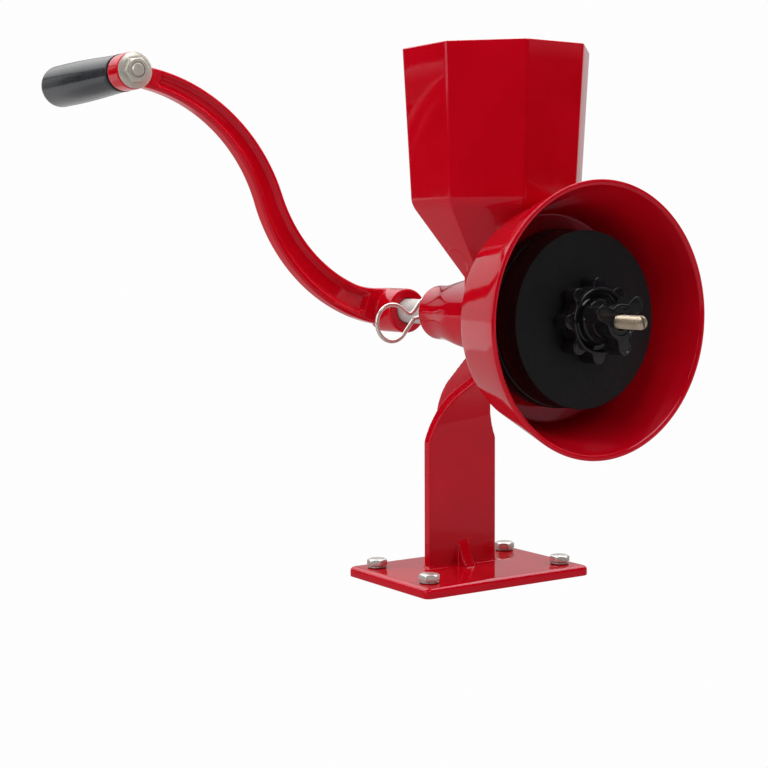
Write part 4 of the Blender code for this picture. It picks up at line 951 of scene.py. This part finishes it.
thread_rows = int((stud_root - stud_tip) / thread_pitch * 12)
rings = []
for row in range(thread_rows + 1):
    along = stud_root + (stud_tip - stud_root) * row / thread_rows
    angles = [full_turn * step / stud_points for step in range(stud_points)]
    rings.append([about(shaft, thread_radius(along, angle), angle, along) for angle in angles])
stud = solid("stud_thread", loft(rings), 60.0)
slot_low = (-stud_slot_half, stud_tip - mm, shaft_z - stud_slot_reach)
slot_high = (stud_slot_half, stud_tip + stud_slot_depth, shaft_z + stud_slot_reach)
slot_bm = block(slot_low, slot_high)
slot_lean = Matrix.Rotation(math.radians(slot_turn), 3, "Y")
bmesh.ops.rotate(slot_bm, cent=shaft, matrix=slot_lean, verts=slot_bm.verts)
combine(stud, solid("slot", slot_bm))
settle(stud, 50.0)
stud_steel = steel_finish("stud_steel_cut", (0.64, 0.53, 0.41), 0.28, 0.4 * mm, metal=0.85)
fit(stud, "crank", ["threaded_stud"], stud_steel)

# Adjusting knob
# An eight-lobed star moulded in gloss black plastic: round finger lobes, a raised bead round a
# shallow dish, and a stepped hub over a threaded brass insert. It presses the front stone in.
star_rear = -104.3 * mm
star_face = -114.9 * mm
star_edge = 0.6 * mm
star_core = 17.9 * mm
star_blend = 1.0 * mm
star_lobe_centre = 19.3 * mm
star_lobe_radius = 4.0 * mm
star_bead = 17.2 * mm
star_bead_half = 0.95 * mm
star_bead_high = 1.4 * mm
star_dish = 2.4 * mm
star_hub = 12.6 * mm
star_hub_top = 9.4 * mm
star_hub_front = -120.7 * mm
star_hub_round = 0.8 * mm
bead_inside = star_bead - star_bead_half
star_terraces = [(0.5 * mm, bead_inside - 0.2 * mm), (0.0, bead_inside - 0.8 * mm),
                 (0.0, star_hub + 0.7 * mm), (0.5 * mm, star_hub),
                 (3.7 * mm, 11.6 * mm), (4.1 * mm, 11.2 * mm),
                 (4.2 * mm, 10.3 * mm), (4.6 * mm, 10.1 * mm)]
insert_radius = 6.65 * mm
insert_gap = 0.3 * mm
knob_points = 320


def gloss_black_finish(name):
    """Gloss black moulding: soft sink marks, a fine grain and patches of haze."""
    return coat(name, ((0.007, 0.007, 0.008), (0.011, 0.011, 0.0125)), (6.0 * mm, 3.0), (0.06, 0.13),
                (2.0 * mm, 4.0), [(0.03 * mm, 5.0 * mm, 1.0), (0.003 * mm, 0.6 * mm, 2.0)], IOR=1.5)


def melted_outline(core, arm_from, arm_to, arm_radius, arms, blend):
    """Radii round a knob: a round core and evenly set round-ended arms, melted together."""
    radii = []
    for index in range(knob_points):
        angle = full_turn * index / knob_points
        low, high = core * 0.5, arm_to + 2.0 * arm_radius
        for halving in range(26):
            middle = (low + high) / 2.0
            spot = Vector((middle * math.cos(angle), middle * math.sin(angle)))
            closeness = math.exp(-(middle - core) / blend)
            for arm in range(arms):
                out = Vector((math.cos(full_turn * arm / arms), math.sin(full_turn * arm / arms)))
                along = min(arm_to, max(arm_from, spot.dot(out)))
                closeness += math.exp(-((spot - out * along).length - arm_radius) / blend)
            if closeness > 1.0:
                low = middle
            else:
                high = middle
        radii.append(middle)
    return radii


def knob_ring(y, radii, turn=0.0, inset=0.0):
    """A ring about the shaft from one radius or a list of radii, drawn in by an inset."""
    if not isinstance(radii, list):
        radii = [radii] * knob_points
    return [about(shaft, radius - inset, full_turn * index / knob_points + math.radians(turn), y)
            for index, radius in enumerate(radii)]


def moulded_sides(outline, rear, front, edge, turn=0.0):
    """Rings round a moulded knob's side, rounded at its rear and front edges."""
    rings = [knob_ring(rear - edge + up, outline, turn, edge - out)
             for out, up in arc(0.0, 0.0, edge, 90.0, 0.0, 4)]
    return rings + [knob_ring(front + edge - up, outline, turn, edge - out)
                    for out, up in arc(0.0, 0.0, edge, 0.0, 90.0, 5)]


star = melted_outline(star_core, star_lobe_centre, star_lobe_centre, star_lobe_radius, 8, star_blend)
rings = moulded_sides(star, star_rear, star_face, star_edge)
rings += [knob_ring(star_face - star_bead_high * up, star_bead + star_bead_half * out)
          for out, up in arc(0.0, 0.0, 1.0, 0.0, 180.0, 12)]
rings += [knob_ring(star_face + star_dish - rise, radius) for rise, radius in star_terraces]
rings += [knob_ring(star_hub_front + star_hub_round - up, star_hub_top - star_hub_round + out)
          for out, up in arc(0.0, 0.0, star_hub_round, 0.0, 90.0, 4)]
rings += [knob_ring(y, insert_radius + insert_gap) for y in (star_hub_front, star_rear)]
knob = solid("star_knob", loft(rings, closed=True), 32.0)
fit(knob, "adjuster", ["adjusting_knob"], gloss_black_finish("black_knob_star"))

brass_turned = steel_finish("insert_brass_turned", (0.62, 0.46, 0.18), 0.26, 0.4 * mm, 0.14, shaft)
insert_chamfer = 0.3 * mm
insert_bore = thread_crest + 0.3 * mm


def insert(name, rear, front, body, node):
    """A turned brass insert, chamfered outside and at the mouth of its bore."""
    ring = turned_ring(front, rear, insert_bore, insert_radius, insert_chamfer)
    ring = [(front + insert_chamfer, insert_bore), (front, insert_bore + insert_chamfer)] + ring[1:]
    fit(turned(name, ring, 72), body, [node], brass_turned)


insert("star_insert", star_rear - insert_gap, star_hub_front + insert_gap, "adjuster", "adjusting_knob_bush")

# Lock knob
# A three-armed knob of the same moulding, flat in front with a thin proud rim and a shallow
# dish round the stud. It jams against the star so that the setting holds.
lock_rear = -121.0 * mm
lock_front = -132.4 * mm
lock_edge = 0.6 * mm
lock_body = 9.4 * mm
lock_blend = 0.45 * mm
lock_arm_centre = 13.7 * mm
lock_arm_half = 4.2 * mm
lock_turned = 160.0
lock_rim = 1.1 * mm
lock_rim_drop = 0.35 * mm
lock_dish_radius = 7.4 * mm
lock_dish_deep = 1.2 * mm
lock_cover = 3.0 * mm
lock_stud_hole = 4.45 * mm
lock_hole_chamfer = 0.3 * mm
lock_dish_wall = 0.6 * mm

lock = melted_outline(lock_body, 0.0, lock_arm_centre, lock_arm_half, 3, lock_blend)
rings = moulded_sides(lock, lock_rear, lock_front, lock_edge, lock_turned)
for share in (0.0, 0.6, 1.0):
    inset = lock_edge + lock_rim * (0.6 + share * 0.4)
    rings.append(knob_ring(lock_front + lock_rim_drop * share, lock, lock_turned, inset))
lock_floor = lock_front + lock_dish_deep
cover_rear = lock_floor + lock_cover
lock_bore = insert_radius + insert_gap
lock_steps = [(lock_front + lock_rim_drop, lock_dish_radius),
              (lock_front + lock_dish_deep * 0.5, lock_dish_radius - lock_dish_wall * 0.3),
              (lock_floor, lock_dish_radius - lock_dish_wall),
              (lock_floor, lock_stud_hole + lock_hole_chamfer),
              (lock_floor + lock_hole_chamfer, lock_stud_hole), (cover_rear, lock_stud_hole),
              (cover_rear, lock_bore), (lock_rear, lock_bore)]
rings += [knob_ring(y, radius, lock_turned) for y, radius in lock_steps]
lock_piece = solid("lock_knob_moulding", loft(rings, closed=True), 32.0)
fit(lock_piece, "lock", ["lock_knob"], gloss_black_finish("black_knob_lock"))
insert("lock_insert", lock_rear - insert_gap, cover_rear + insert_gap, "lock", "lock_knob_bush")

# Crank arm
# An S-curved casting: round hub, tapering arm with a channel along each face, round eye.
# Its corners are melted soft, and hub and eye are bored and the hub keyed afterwards.
eye_x = -176.7 * mm
eye_z = 294.3 * mm
eye = Vector((eye_x, 0.0, eye_z))
outer_radius = 100.6 * mm
outer_heading = math.radians(3.5)
hub_heading = math.radians(4.5)
eye_drop = 1.8 * mm
arm_front = 77.6 * mm
arm_back = 87.4 * mm
arm_hub_half = 10.3 * mm
arm_eye_half = 5.8 * mm
arm_edge = 1.6 * mm
channel_depth = 2.1 * mm
channel_wall = 2.6 * mm
channel_rim = 0.32
root_lift = 3.4 * mm
root_run = 34.0 * mm
channel_corner = 3.6 * mm
channel_from_hub = 21.5 * mm
channel_from_eye = 15.5 * mm
hub_front = 62.7 * mm
hub_back = 88.9 * mm
crank_hub = 13.8 * mm
crank_hub_edge = 1.4 * mm
hub_bore = 8.1 * mm
eye_front = 75.3 * mm
eye_back = 89.3 * mm
eye_radius = 10.5 * mm
eye_edge = 0.9 * mm
eye_bore = 4.2 * mm
arm_grain = 0.4 * mm
hub_root_out = 1.5 * mm
hub_root_wide = 4.0 * mm
hub_root_x = -4.0 * mm
eye_root_out = 1.0 * mm
eye_root_wide = 2.5 * mm
eye_root_x = eye_x + 3.0 * mm


def arm_stations(steps):
    """(x, z, side, distance, total) along two arcs that meet in a common tangent, from the hub."""
    end = Vector((eye_x, eye_z - shaft_z - eye_drop))
    outer = end - outer_radius * Vector((math.sin(outer_heading), math.cos(outer_heading)))
    normal = Vector((math.sin(hub_heading), math.cos(hub_heading)))
    inner_radius = (outer.length_squared - outer_radius ** 2) / (2.0 * (outer_radius + outer.dot(normal)))
    inner = normal * inner_radius
    joint = outer + (inner - outer).normalized() * outer_radius
    hub_angle = math.atan2(-inner.y, -inner.x)
    inner_joint = math.atan2(joint.y - inner.y, joint.x - inner.x)
    outer_joint = math.atan2(joint.y - outer.y, joint.x - outer.x)
    eye_angle = math.atan2(end.y - outer.y, end.x - outer.x)
    inner_run = ((hub_angle - inner_joint) % full_turn) * inner_radius
    outer_run = ((eye_angle - outer_joint) % full_turn) * outer_radius
    total = inner_run + outer_run
    places = []
    for step in range(steps + 1):
        distance = total * step / steps
        if distance <= inner_run:
            angle = hub_angle - distance / inner_radius
            out = Vector((math.cos(angle), math.sin(angle)))
            spot, side = inner + inner_radius * out, -out
        else:
            angle = outer_joint + (distance - inner_run) / outer_radius
            out = Vector((math.cos(angle), math.sin(angle)))
            spot, side = outer + outer_radius * out, out
        places.append((spot.x, spot.y, side, distance, total))
    return places


def channel(distance, across, half_width, total):
    """How deep the arm's channel is at a place: sloped walls round a rounded outline."""
    middle = (channel_from_hub + total - channel_from_eye) / 2.0
    half_long = middle - channel_from_hub
    past_end = abs(distance - middle) - half_long + channel_corner
    past_side = abs(across) - half_width * (1.0 - channel_rim) + channel_corner
    outside = math.hypot(max(past_end, 0.0), max(past_side, 0.0)) + min(max(past_end, past_side), 0.0)
    return channel_depth * ease(max(0.0, min(1.0, (channel_corner - outside) / channel_wall)))


def arm_section(half_width, distance, total):
    """(across, y) round the arm: rounded edges and a channel in each face."""
    half = [(half_width - arm_edge + out, arm_front + arm_edge - up)
            for out, up in arc(0.0, 0.0, arm_edge, 0.0, 90.0, 4)]
    flat = half_width - arm_edge
    for step in range(1, 17):
        across = flat * (1.0 - step / 16.0)
        half.append((across, arm_front + channel(distance, across, half_width, total)))
    front = half + [(-across, y) for across, y in reversed(half[:-1])]
    return front + [(across, arm_front + arm_back - y) for across, y in reversed(front)]


def round_end(front, back, radius, edge, centre):
    """The arm's hub or eye: a short round bar with softened edges."""
    outline = [(front, 0.0)]
    outline += [(front + edge - up, radius - edge + out) for up, out in arc(0.0, 0.0, edge, 0.0, 90.0, 5)]
    outline += [(back - edge + up, radius - edge + out) for up, out in arc(0.0, 0.0, edge, 90.0, 0.0, 5)]
    return spin(outline + [(back, 0.0)], 128, "Y", centre)


rings = []
for x, z, side, distance, total in arm_stations(420):
    half_width = arm_hub_half + (arm_eye_half - arm_hub_half) * distance / total
    lift = root_lift / 2.0 * ease(max(0.0, 1.0 - distance / root_run))
    section = [(across + lift, y) for across, y in arm_section(half_width + lift, distance, total)]
    rings.append([(x + side.x * across, y, shaft_z + z + side.y * across) for across, y in section])
arm_bodies = [loft(rings), round_end(hub_front, hub_back, crank_hub, crank_hub_edge, shaft)]
arm_bodies.append(round_end(eye_front, eye_back, eye_radius, eye_edge, eye))
arm = solid("crank_casting", gather(arm_bodies))
cast(arm, arm_grain, 12)

roots = arm.vertex_groups.new(name="roots")
for vertex in arm.data.vertices:
    x, z = vertex.co.x, vertex.co.z
    from_hub = abs(math.hypot(x, z - shaft_z) - crank_hub - hub_root_out)
    from_eye = abs(math.hypot(x - eye_x, z - eye_z) - eye_radius - eye_root_out)
    near_hub = 1.0 - min(1.0, from_hub / hub_root_wide) if x < hub_root_x else 0.0
    near_eye = 1.0 - min(1.0, from_eye / eye_root_wide) if x > eye_root_x else 0.0
    if max(near_hub, near_eye) > 0.0:
        roots.add([vertex.index], max(near_hub, near_eye), "REPLACE")
melt = arm.modifiers.new("melt", "SMOOTH")
melt.vertex_group = "roots"
melt.factor = 0.6
melt.iterations = 40
settle(arm)
for x, z, front, back, bore, points in ((0.0, shaft_z, hub_front, hub_back, hub_bore, 96),
                                        (eye_x, eye_z, eye_front, eye_back, eye_bore, 64)):
    drill(arm, (x, front - mm, z), (x, back + mm, z), bore, points)
combine(arm, solid("keyway", block(*keyway)))
arm.data.shade_smooth()
arm.data.set_sharp_from_angle(angle=math.radians(50.0))
crank_enamel = enamel_finish("red_enamel_crank", 6.0 * mm, 0.035 * mm,
                             deep=(0.55, 0.001, 0.008), light=(0.60, 0.0018, 0.011))
fit(arm, "crank", ["crank_arm"], crank_enamel)

# Crank fixing
# A square key in the shaft, a thick washer and a hex bolt screwed into the shaft's rear end.
key_edge = 0.25 * mm
crank_washer_y = (89.2 * mm, 91.2 * mm)
crank_washer_radius = 11.0 * mm
crank_washer_chamfer = 0.4 * mm
crank_bolt_flats = 13.0 * mm
crank_bolt_levels = (70.9 * mm, 91.5 * mm, 96.8 * mm)
crank_bolt_drop = 1.0 * mm

key_low = (-key_half, key_front, key_middle - key_half)
key_high = (key_half, shaft_rear, key_middle + key_half)
key = solid("crank_key_steel", block(key_low, key_high))
edge = key.modifiers.new("edge", "BEVEL")
edge.width = key_edge
edge.segments = 2
settle(key, 30.0)
fit(key, "crank", ["crank_key"], steel_finish("bright_steel_key", zinc, 0.3))
ring = turned_ring(*crank_washer_y, tapping, crank_washer_radius, crank_washer_chamfer)
fit(turned("crank_washer_turned", ring), "crank", ["crank_washer"], turned_zinc)
crank_bolt = hex_bolt("crank_hex_bolt", shaft, crank_bolt_flats, crank_bolt_levels, 12.0, "Y",
                      crank_bolt_drop, thread_crest)
fit(crank_bolt, "crank", ["crank_bolt"], bolt_steel)

# Grip, its axle bolt and nut
# A smooth dark grey grip that spins on a shouldered bolt, with a black ring against the arm's eye.
# The bolt goes through the eye and a flanged nut holds it from the other side.
axle_front = 69.4 * mm
axle_radius = 3.9 * mm
axle_head = 6.4 * mm
axle_seat = 176.4 * mm
axle_end = 181.0 * mm
axle_under = 0.3 * mm
nut_flange_y = (73.8 * mm, 75.0 * mm)
nut_front = 70.2 * mm
nut_flange = 10.2 * mm
nut_cone = 7.4 * mm
nut_flats = 13.0 * mm
nut_turn = 8.0
nut_sink = 0.3 * mm
nut_edge = 0.4 * mm
nut_rise = 1.0 * mm
ring_y = (89.6 * mm, 90.8 * mm)
ring_radius = 10.7 * mm
ring_chamfer = 0.3 * mm
grip_near_y = 91.1 * mm
grip_far_y = 185.0 * mm
grip_near = 10.5 * mm
grip_far = 12.5 * mm
grip_near_round = 1.2 * mm
grip_far_round = 5.0 * mm
pocket = 7.6 * mm
pocket_y = 176.1 * mm
pocket_edge = 0.4 * mm
axle_tip = 0.8 * mm
axle_thread_end = 88.0 * mm
axle_cut = 0.5 * mm
axle_play = 0.1 * mm
axle_thread = [(0.25 * mm, 0.0), (0.375 * mm, 0.0), (0.85 * mm, axle_cut), (1.0 * mm, axle_cut)]

axle = [(axle_front, 0.0), (axle_front, axle_radius - axle_tip - axle_play)]
axle += [(axle_front + axle_tip, axle_radius - axle_play)]
crest = axle_front + axle_tip
while crest < axle_thread_end:
    axle += [(crest + run, axle_radius - cut) for run, cut in axle_thread]
    crest += thread_pitch
axle += [(crest + 0.3 * mm, axle_radius), (axle_seat, axle_radius), (axle_seat, axle_head - axle_under)]
axle += [(axle_seat + axle_under, axle_head), (axle_end - axle_tip, axle_head)]
axle += [(axle_end, axle_head - axle_tip), (axle_end, 0.0)]
axle = turned("grip_axle_turned", axle, 72, eye, 30.0)
eye_zinc = steel_finish("bright_steel_nut", (0.70, 0.66, 0.58), 0.28, 0.35 * mm, 0.06, eye, 0.5)
fit(axle, "crank", ["grip_axle_bolt"], eye_zinc)

nut_front_face, nut_rear_face = nut_flange_y
nut_base = nut_front_face + nut_sink
nut = hex_head("flange_nut", eye, nut_flats, nut_base, nut_front, nut_turn, "Y", head_drop)
flange = [(nut_rear_face, 0.0), (nut_rear_face, nut_flange - 0.2 * mm)]
flange += [(nut_rear_face - nut_edge, nut_flange), (nut_base, nut_flange)]
flange += [(nut_front_face, nut_flange - nut_edge), (nut_front_face - nut_rise, nut_cone)]
flange.append((nut_front_face - nut_rise, 0.0))
combine(nut, turned("flange", flange, 96, eye), "UNION")
ends = [(eye_x, y, eye_z) for y in (nut_front - mm, nut_rear_face + mm)]
drill(nut, *ends, eye_bore)
settle(nut, 30.0)
fit(nut, "crank", ["grip_nut"], eye_zinc)

collar = turned("grip_collar", turned_ring(*ring_y, eye_bore, ring_radius, ring_chamfer), 96, eye)
fit(collar, "grip", ["grip_ring"], matt_black_finish("black_ring_moulded", eye))


def grip_radius(y):
    """Slim at the ring, swelling to a gentle barrel and full towards the far end."""
    share = (y - grip_near_y) / (grip_far_y - grip_near_y)
    return grip_near + (grip_far - grip_near) * math.sin(min(1.0, share * 1.25) * math.pi / 2.0) ** 1.2


grip = [(grip_near_y, eye_bore)]
grip += arc(grip_near_y + grip_near_round, grip_near - grip_near_round, grip_near_round, 180.0, 90.0, 5)
steps = 26
body_near, body_far = grip_near_y + grip_near_round, grip_far_y - grip_far_round
for step in range(1, steps):
    y = body_near + (body_far - body_near) * step / steps
    grip.append((y, grip_radius(y)))
grip += arc(body_far, grip_far - grip_far_round, grip_far_round, 90.0, 18.5, 14)
grip += [(grip_far_y - 0.35 * mm, pocket + pocket_edge), (grip_far_y - 2.0 * pocket_edge, pocket)]
grip += [(pocket_y, pocket), (pocket_y, eye_bore)]
grip = turned("grip_moulding", grip, 128, eye, 40.0)
smooth_grey = coat("grip_grey_moulded", ((0.025, 0.026, 0.030), (0.032, 0.033, 0.037)), (12.0 * mm, 3.0),
                   (0.13, 0.19), (4.0 * mm, 4.0), [(0.0008 * mm, 0.9 * mm, 2.0), (0.02 * mm, 9.0 * mm, 1.0)],
                   IOR=1.48, Specular_IOR_Level=0.4)
fit(grip, "grip", ["hand_grip"], smooth_grey)

# Studio
# A white sweep and room that the camera sees as an even white, soft boxes over and beside the
# mill, and the pale table, walls and windows that its enamel mirrors.
sweep_front = -6.0
sweep_depth = 4.0
sweep_rise = 4.0
sweep_radius = 1.2
sweep_half = 7.0
room_radius = 7.0
white = 0.985
below_floor = 0.05 * mm
mill_middle = 0.17
lamp_distance = 2.2
lamp_side = 1.1
camera_azimuth = -33.9


def studio_sheet(name, low, high, foot, head, seen=False):
    """A glowing sheet graded from foot to head: mirrored by the mill, or seen behind it."""
    sheet_bm = bmesh.new()
    edges = [[sheet_bm.verts.new(point) for point in edge] for edge in (low, high)]
    for index in range(len(low) - 1):
        sheet_bm.faces.new((edges[0][index], edges[0][index + 1], edges[1][index + 1], edges[1][index]))
    sheet = solid(name, sheet_bm)
    paper, tree, shader, place = start_finish(
        name + "_paper", Roughness=0.9, Base_Color=(0.0, 0.0, 0.0, 1.0), Specular_IOR_Level=0.0,
        Emission_Color=(1.0, 1.0, 1.0, 1.0))
    height = add_node(tree, "ShaderNodeSeparateXYZ", {0: place}).outputs["Z"]
    foot_z, head_z = low[0][2], high[0][2]
    if head_z - foot_z > mm:
        tree.links.new(spread(tree, height, foot, head, foot_z, head_z), shader.inputs["Emission Strength"])
    else:
        shader.inputs["Emission Strength"].default_value = foot
    sheet.data.materials.append(paper)
    sheet.visible_camera = seen
    sheet.visible_glossy = not seen
    sheet.visible_diffuse = False
    sheet.visible_shadow = False


def compass(azimuth, elevation, distance):
    """A point seen from the mill: azimuth from +Y towards +X, and elevation."""
    turn, rise = math.radians(azimuth), math.radians(elevation)
    flat = distance * math.cos(rise)
    return Vector((flat * math.sin(turn), flat * math.cos(turn), mill_middle + distance * math.sin(rise)))


def band(azimuth_from, azimuth_to, elevation, distance, steps=12):
    """Points along a level arc round the mill."""
    azimuths = [azimuth_from + (azimuth_to - azimuth_from) * step / steps for step in range(steps + 1)]
    return [compass(azimuth, elevation, distance) for azimuth in azimuths]


backdrop_turn = Matrix.Rotation(math.radians(camera_azimuth), 4, "Z")
profile = [(sweep_front, 0.0)]
profile += arc(sweep_depth - sweep_radius, sweep_radius, sweep_radius, -90.0, 0.0, 16)
profile.append((sweep_depth, sweep_rise))
sides = [[backdrop_turn @ Vector((side * sweep_half, along, up - below_floor)) for along, up in profile]
         for side in (-1.0, 1.0)]
studio_sheet("white_sweep", sides[0], sides[1], white, white, seen=True)
for name, low, high in (("white_wall", -12, 30), ("white_slope", 30, 62), ("white_ceiling", 62, 90)):
    edges = [band(-180, 180, elevation, room_radius) for elevation in (low, high)]
    studio_sheet(name, *edges, white, white, seen=True)


def table_sheet(name, half_wide, near, far, level, glow):
    """A piece of the pale table, square to the camera."""
    edges = [[backdrop_turn @ Vector((side, along, level)) for side in (-half_wide, half_wide)]
             for along in (near, far)]
    studio_sheet(name, *edges, glow, glow)


table_sheet("mirrored_table", 4.0, -1.4, 4.0, -mm, 0.38)
table_sheet("mirrored_table_far", 4.0, 0.5, 4.0, -0.8 * mm, 0.75)
# A dim patch of table round the plate is a painted shadow: it stands in for the mill's own shadow on the
# table, as the enamel mirrors it.
table_sheet("mirrored_table_shade", 0.13, -0.11, 0.11, -0.6 * mm, 0.2)
for name, start, end, low, high, distance, foot, head in (
        ("mirrored_front_wall", 136, 164, 4, 14, 3.5, 0.05, 0.5),
        ("mirrored_wall", -25, 100, -6, 17, 4.5, 0.42, 0.55),
        ("mirrored_window", -55, 100, 19, 70, 3.0, 0.8, 4.5),
        ("mirrored_front_box", 140, 205, 40, 75, 2.5, 3.2, 3.2),
        ("mirrored_left_box", -115, -72, 2, 42, 2.6, 1.4, 2.4)):
    studio_sheet(name, band(start, end, low, distance), band(start, end, high, distance), foot, head)


def soft_box(name, place, aim, width, height, power):
    """A rectangular soft box that lights the mill but isn't mirrored in it."""
    lamp = bpy.data.lights.new(name, "AREA")
    lamp.shape = "RECTANGLE"
    lamp.size = width
    lamp.size_y = height
    lamp.energy = power
    obj = bpy.data.objects.new(name, lamp)
    bpy.context.scene.collection.objects.link(obj)
    obj.location = place
    obj.rotation_euler = (Vector(aim) - Vector(place)).to_track_quat("-Z", "Y").to_euler()
    obj.visible_glossy = False
    obj.visible_camera = False


middle = (0.0, 0.0, mill_middle)
soft_box("light_over", (0.0, 0.0, 2.4), middle, 1.2, 1.2, 25.0)
for name, azimuth, elevation, width, power in (
        ("light_high_left", -120, 60, lamp_side, 16.0), ("light_front", 180, 38, lamp_side, 10.0),
        ("light_left", -78, 24, 1.5, 22.0), ("light_right", 112, 32, lamp_side, 24.0),
        ("light_back", 20, 35, lamp_side, 12.0)):
    soft_box(name, compass(azimuth, elevation, lamp_distance), middle, width, lamp_side, power)
soft_box("light_table", (0.0, 0.0, -0.01), (0.0, 0.0, 1.0), 2.4, 2.4, 16.5)

world = bpy.data.worlds.new("studio_air")
world.use_nodes = True
world.node_tree.nodes["Background"].inputs["Color"].default_value = (1.0, 1.0, 1.0, 1.0)
world.node_tree.nodes["Background"].inputs["Strength"].default_value = 0.004
bpy.context.scene.world = world

# Camera
# It stands where the photograph's did, found from the mill's straight edges and round rims.
camera_place = (-0.5628, -0.7484, 0.1946)
camera_lens = 74.48
camera_data = bpy.data.cameras.new("camera")
camera_data.lens = camera_lens
camera_data.sensor_width = 36.0
camera_data.clip_end = 50.0
camera = bpy.data.objects.new("camera", camera_data)
bpy.context.scene.collection.objects.link(camera)
look = Vector((0.5554, 0.8272, -0.085)).normalized()
level = Vector((0.83, -0.5577, -0.0043))
level = (level - look * level.dot(look)).normalized()
upright = level.cross(look)
stance = Matrix((level, upright, -look)).transposed().to_4x4()
camera.matrix_world = Matrix.Translation(camera_place) @ stance
bpy.context.scene.camera = camera
bpy.context.scene.view_settings.view_transform = "Standard"
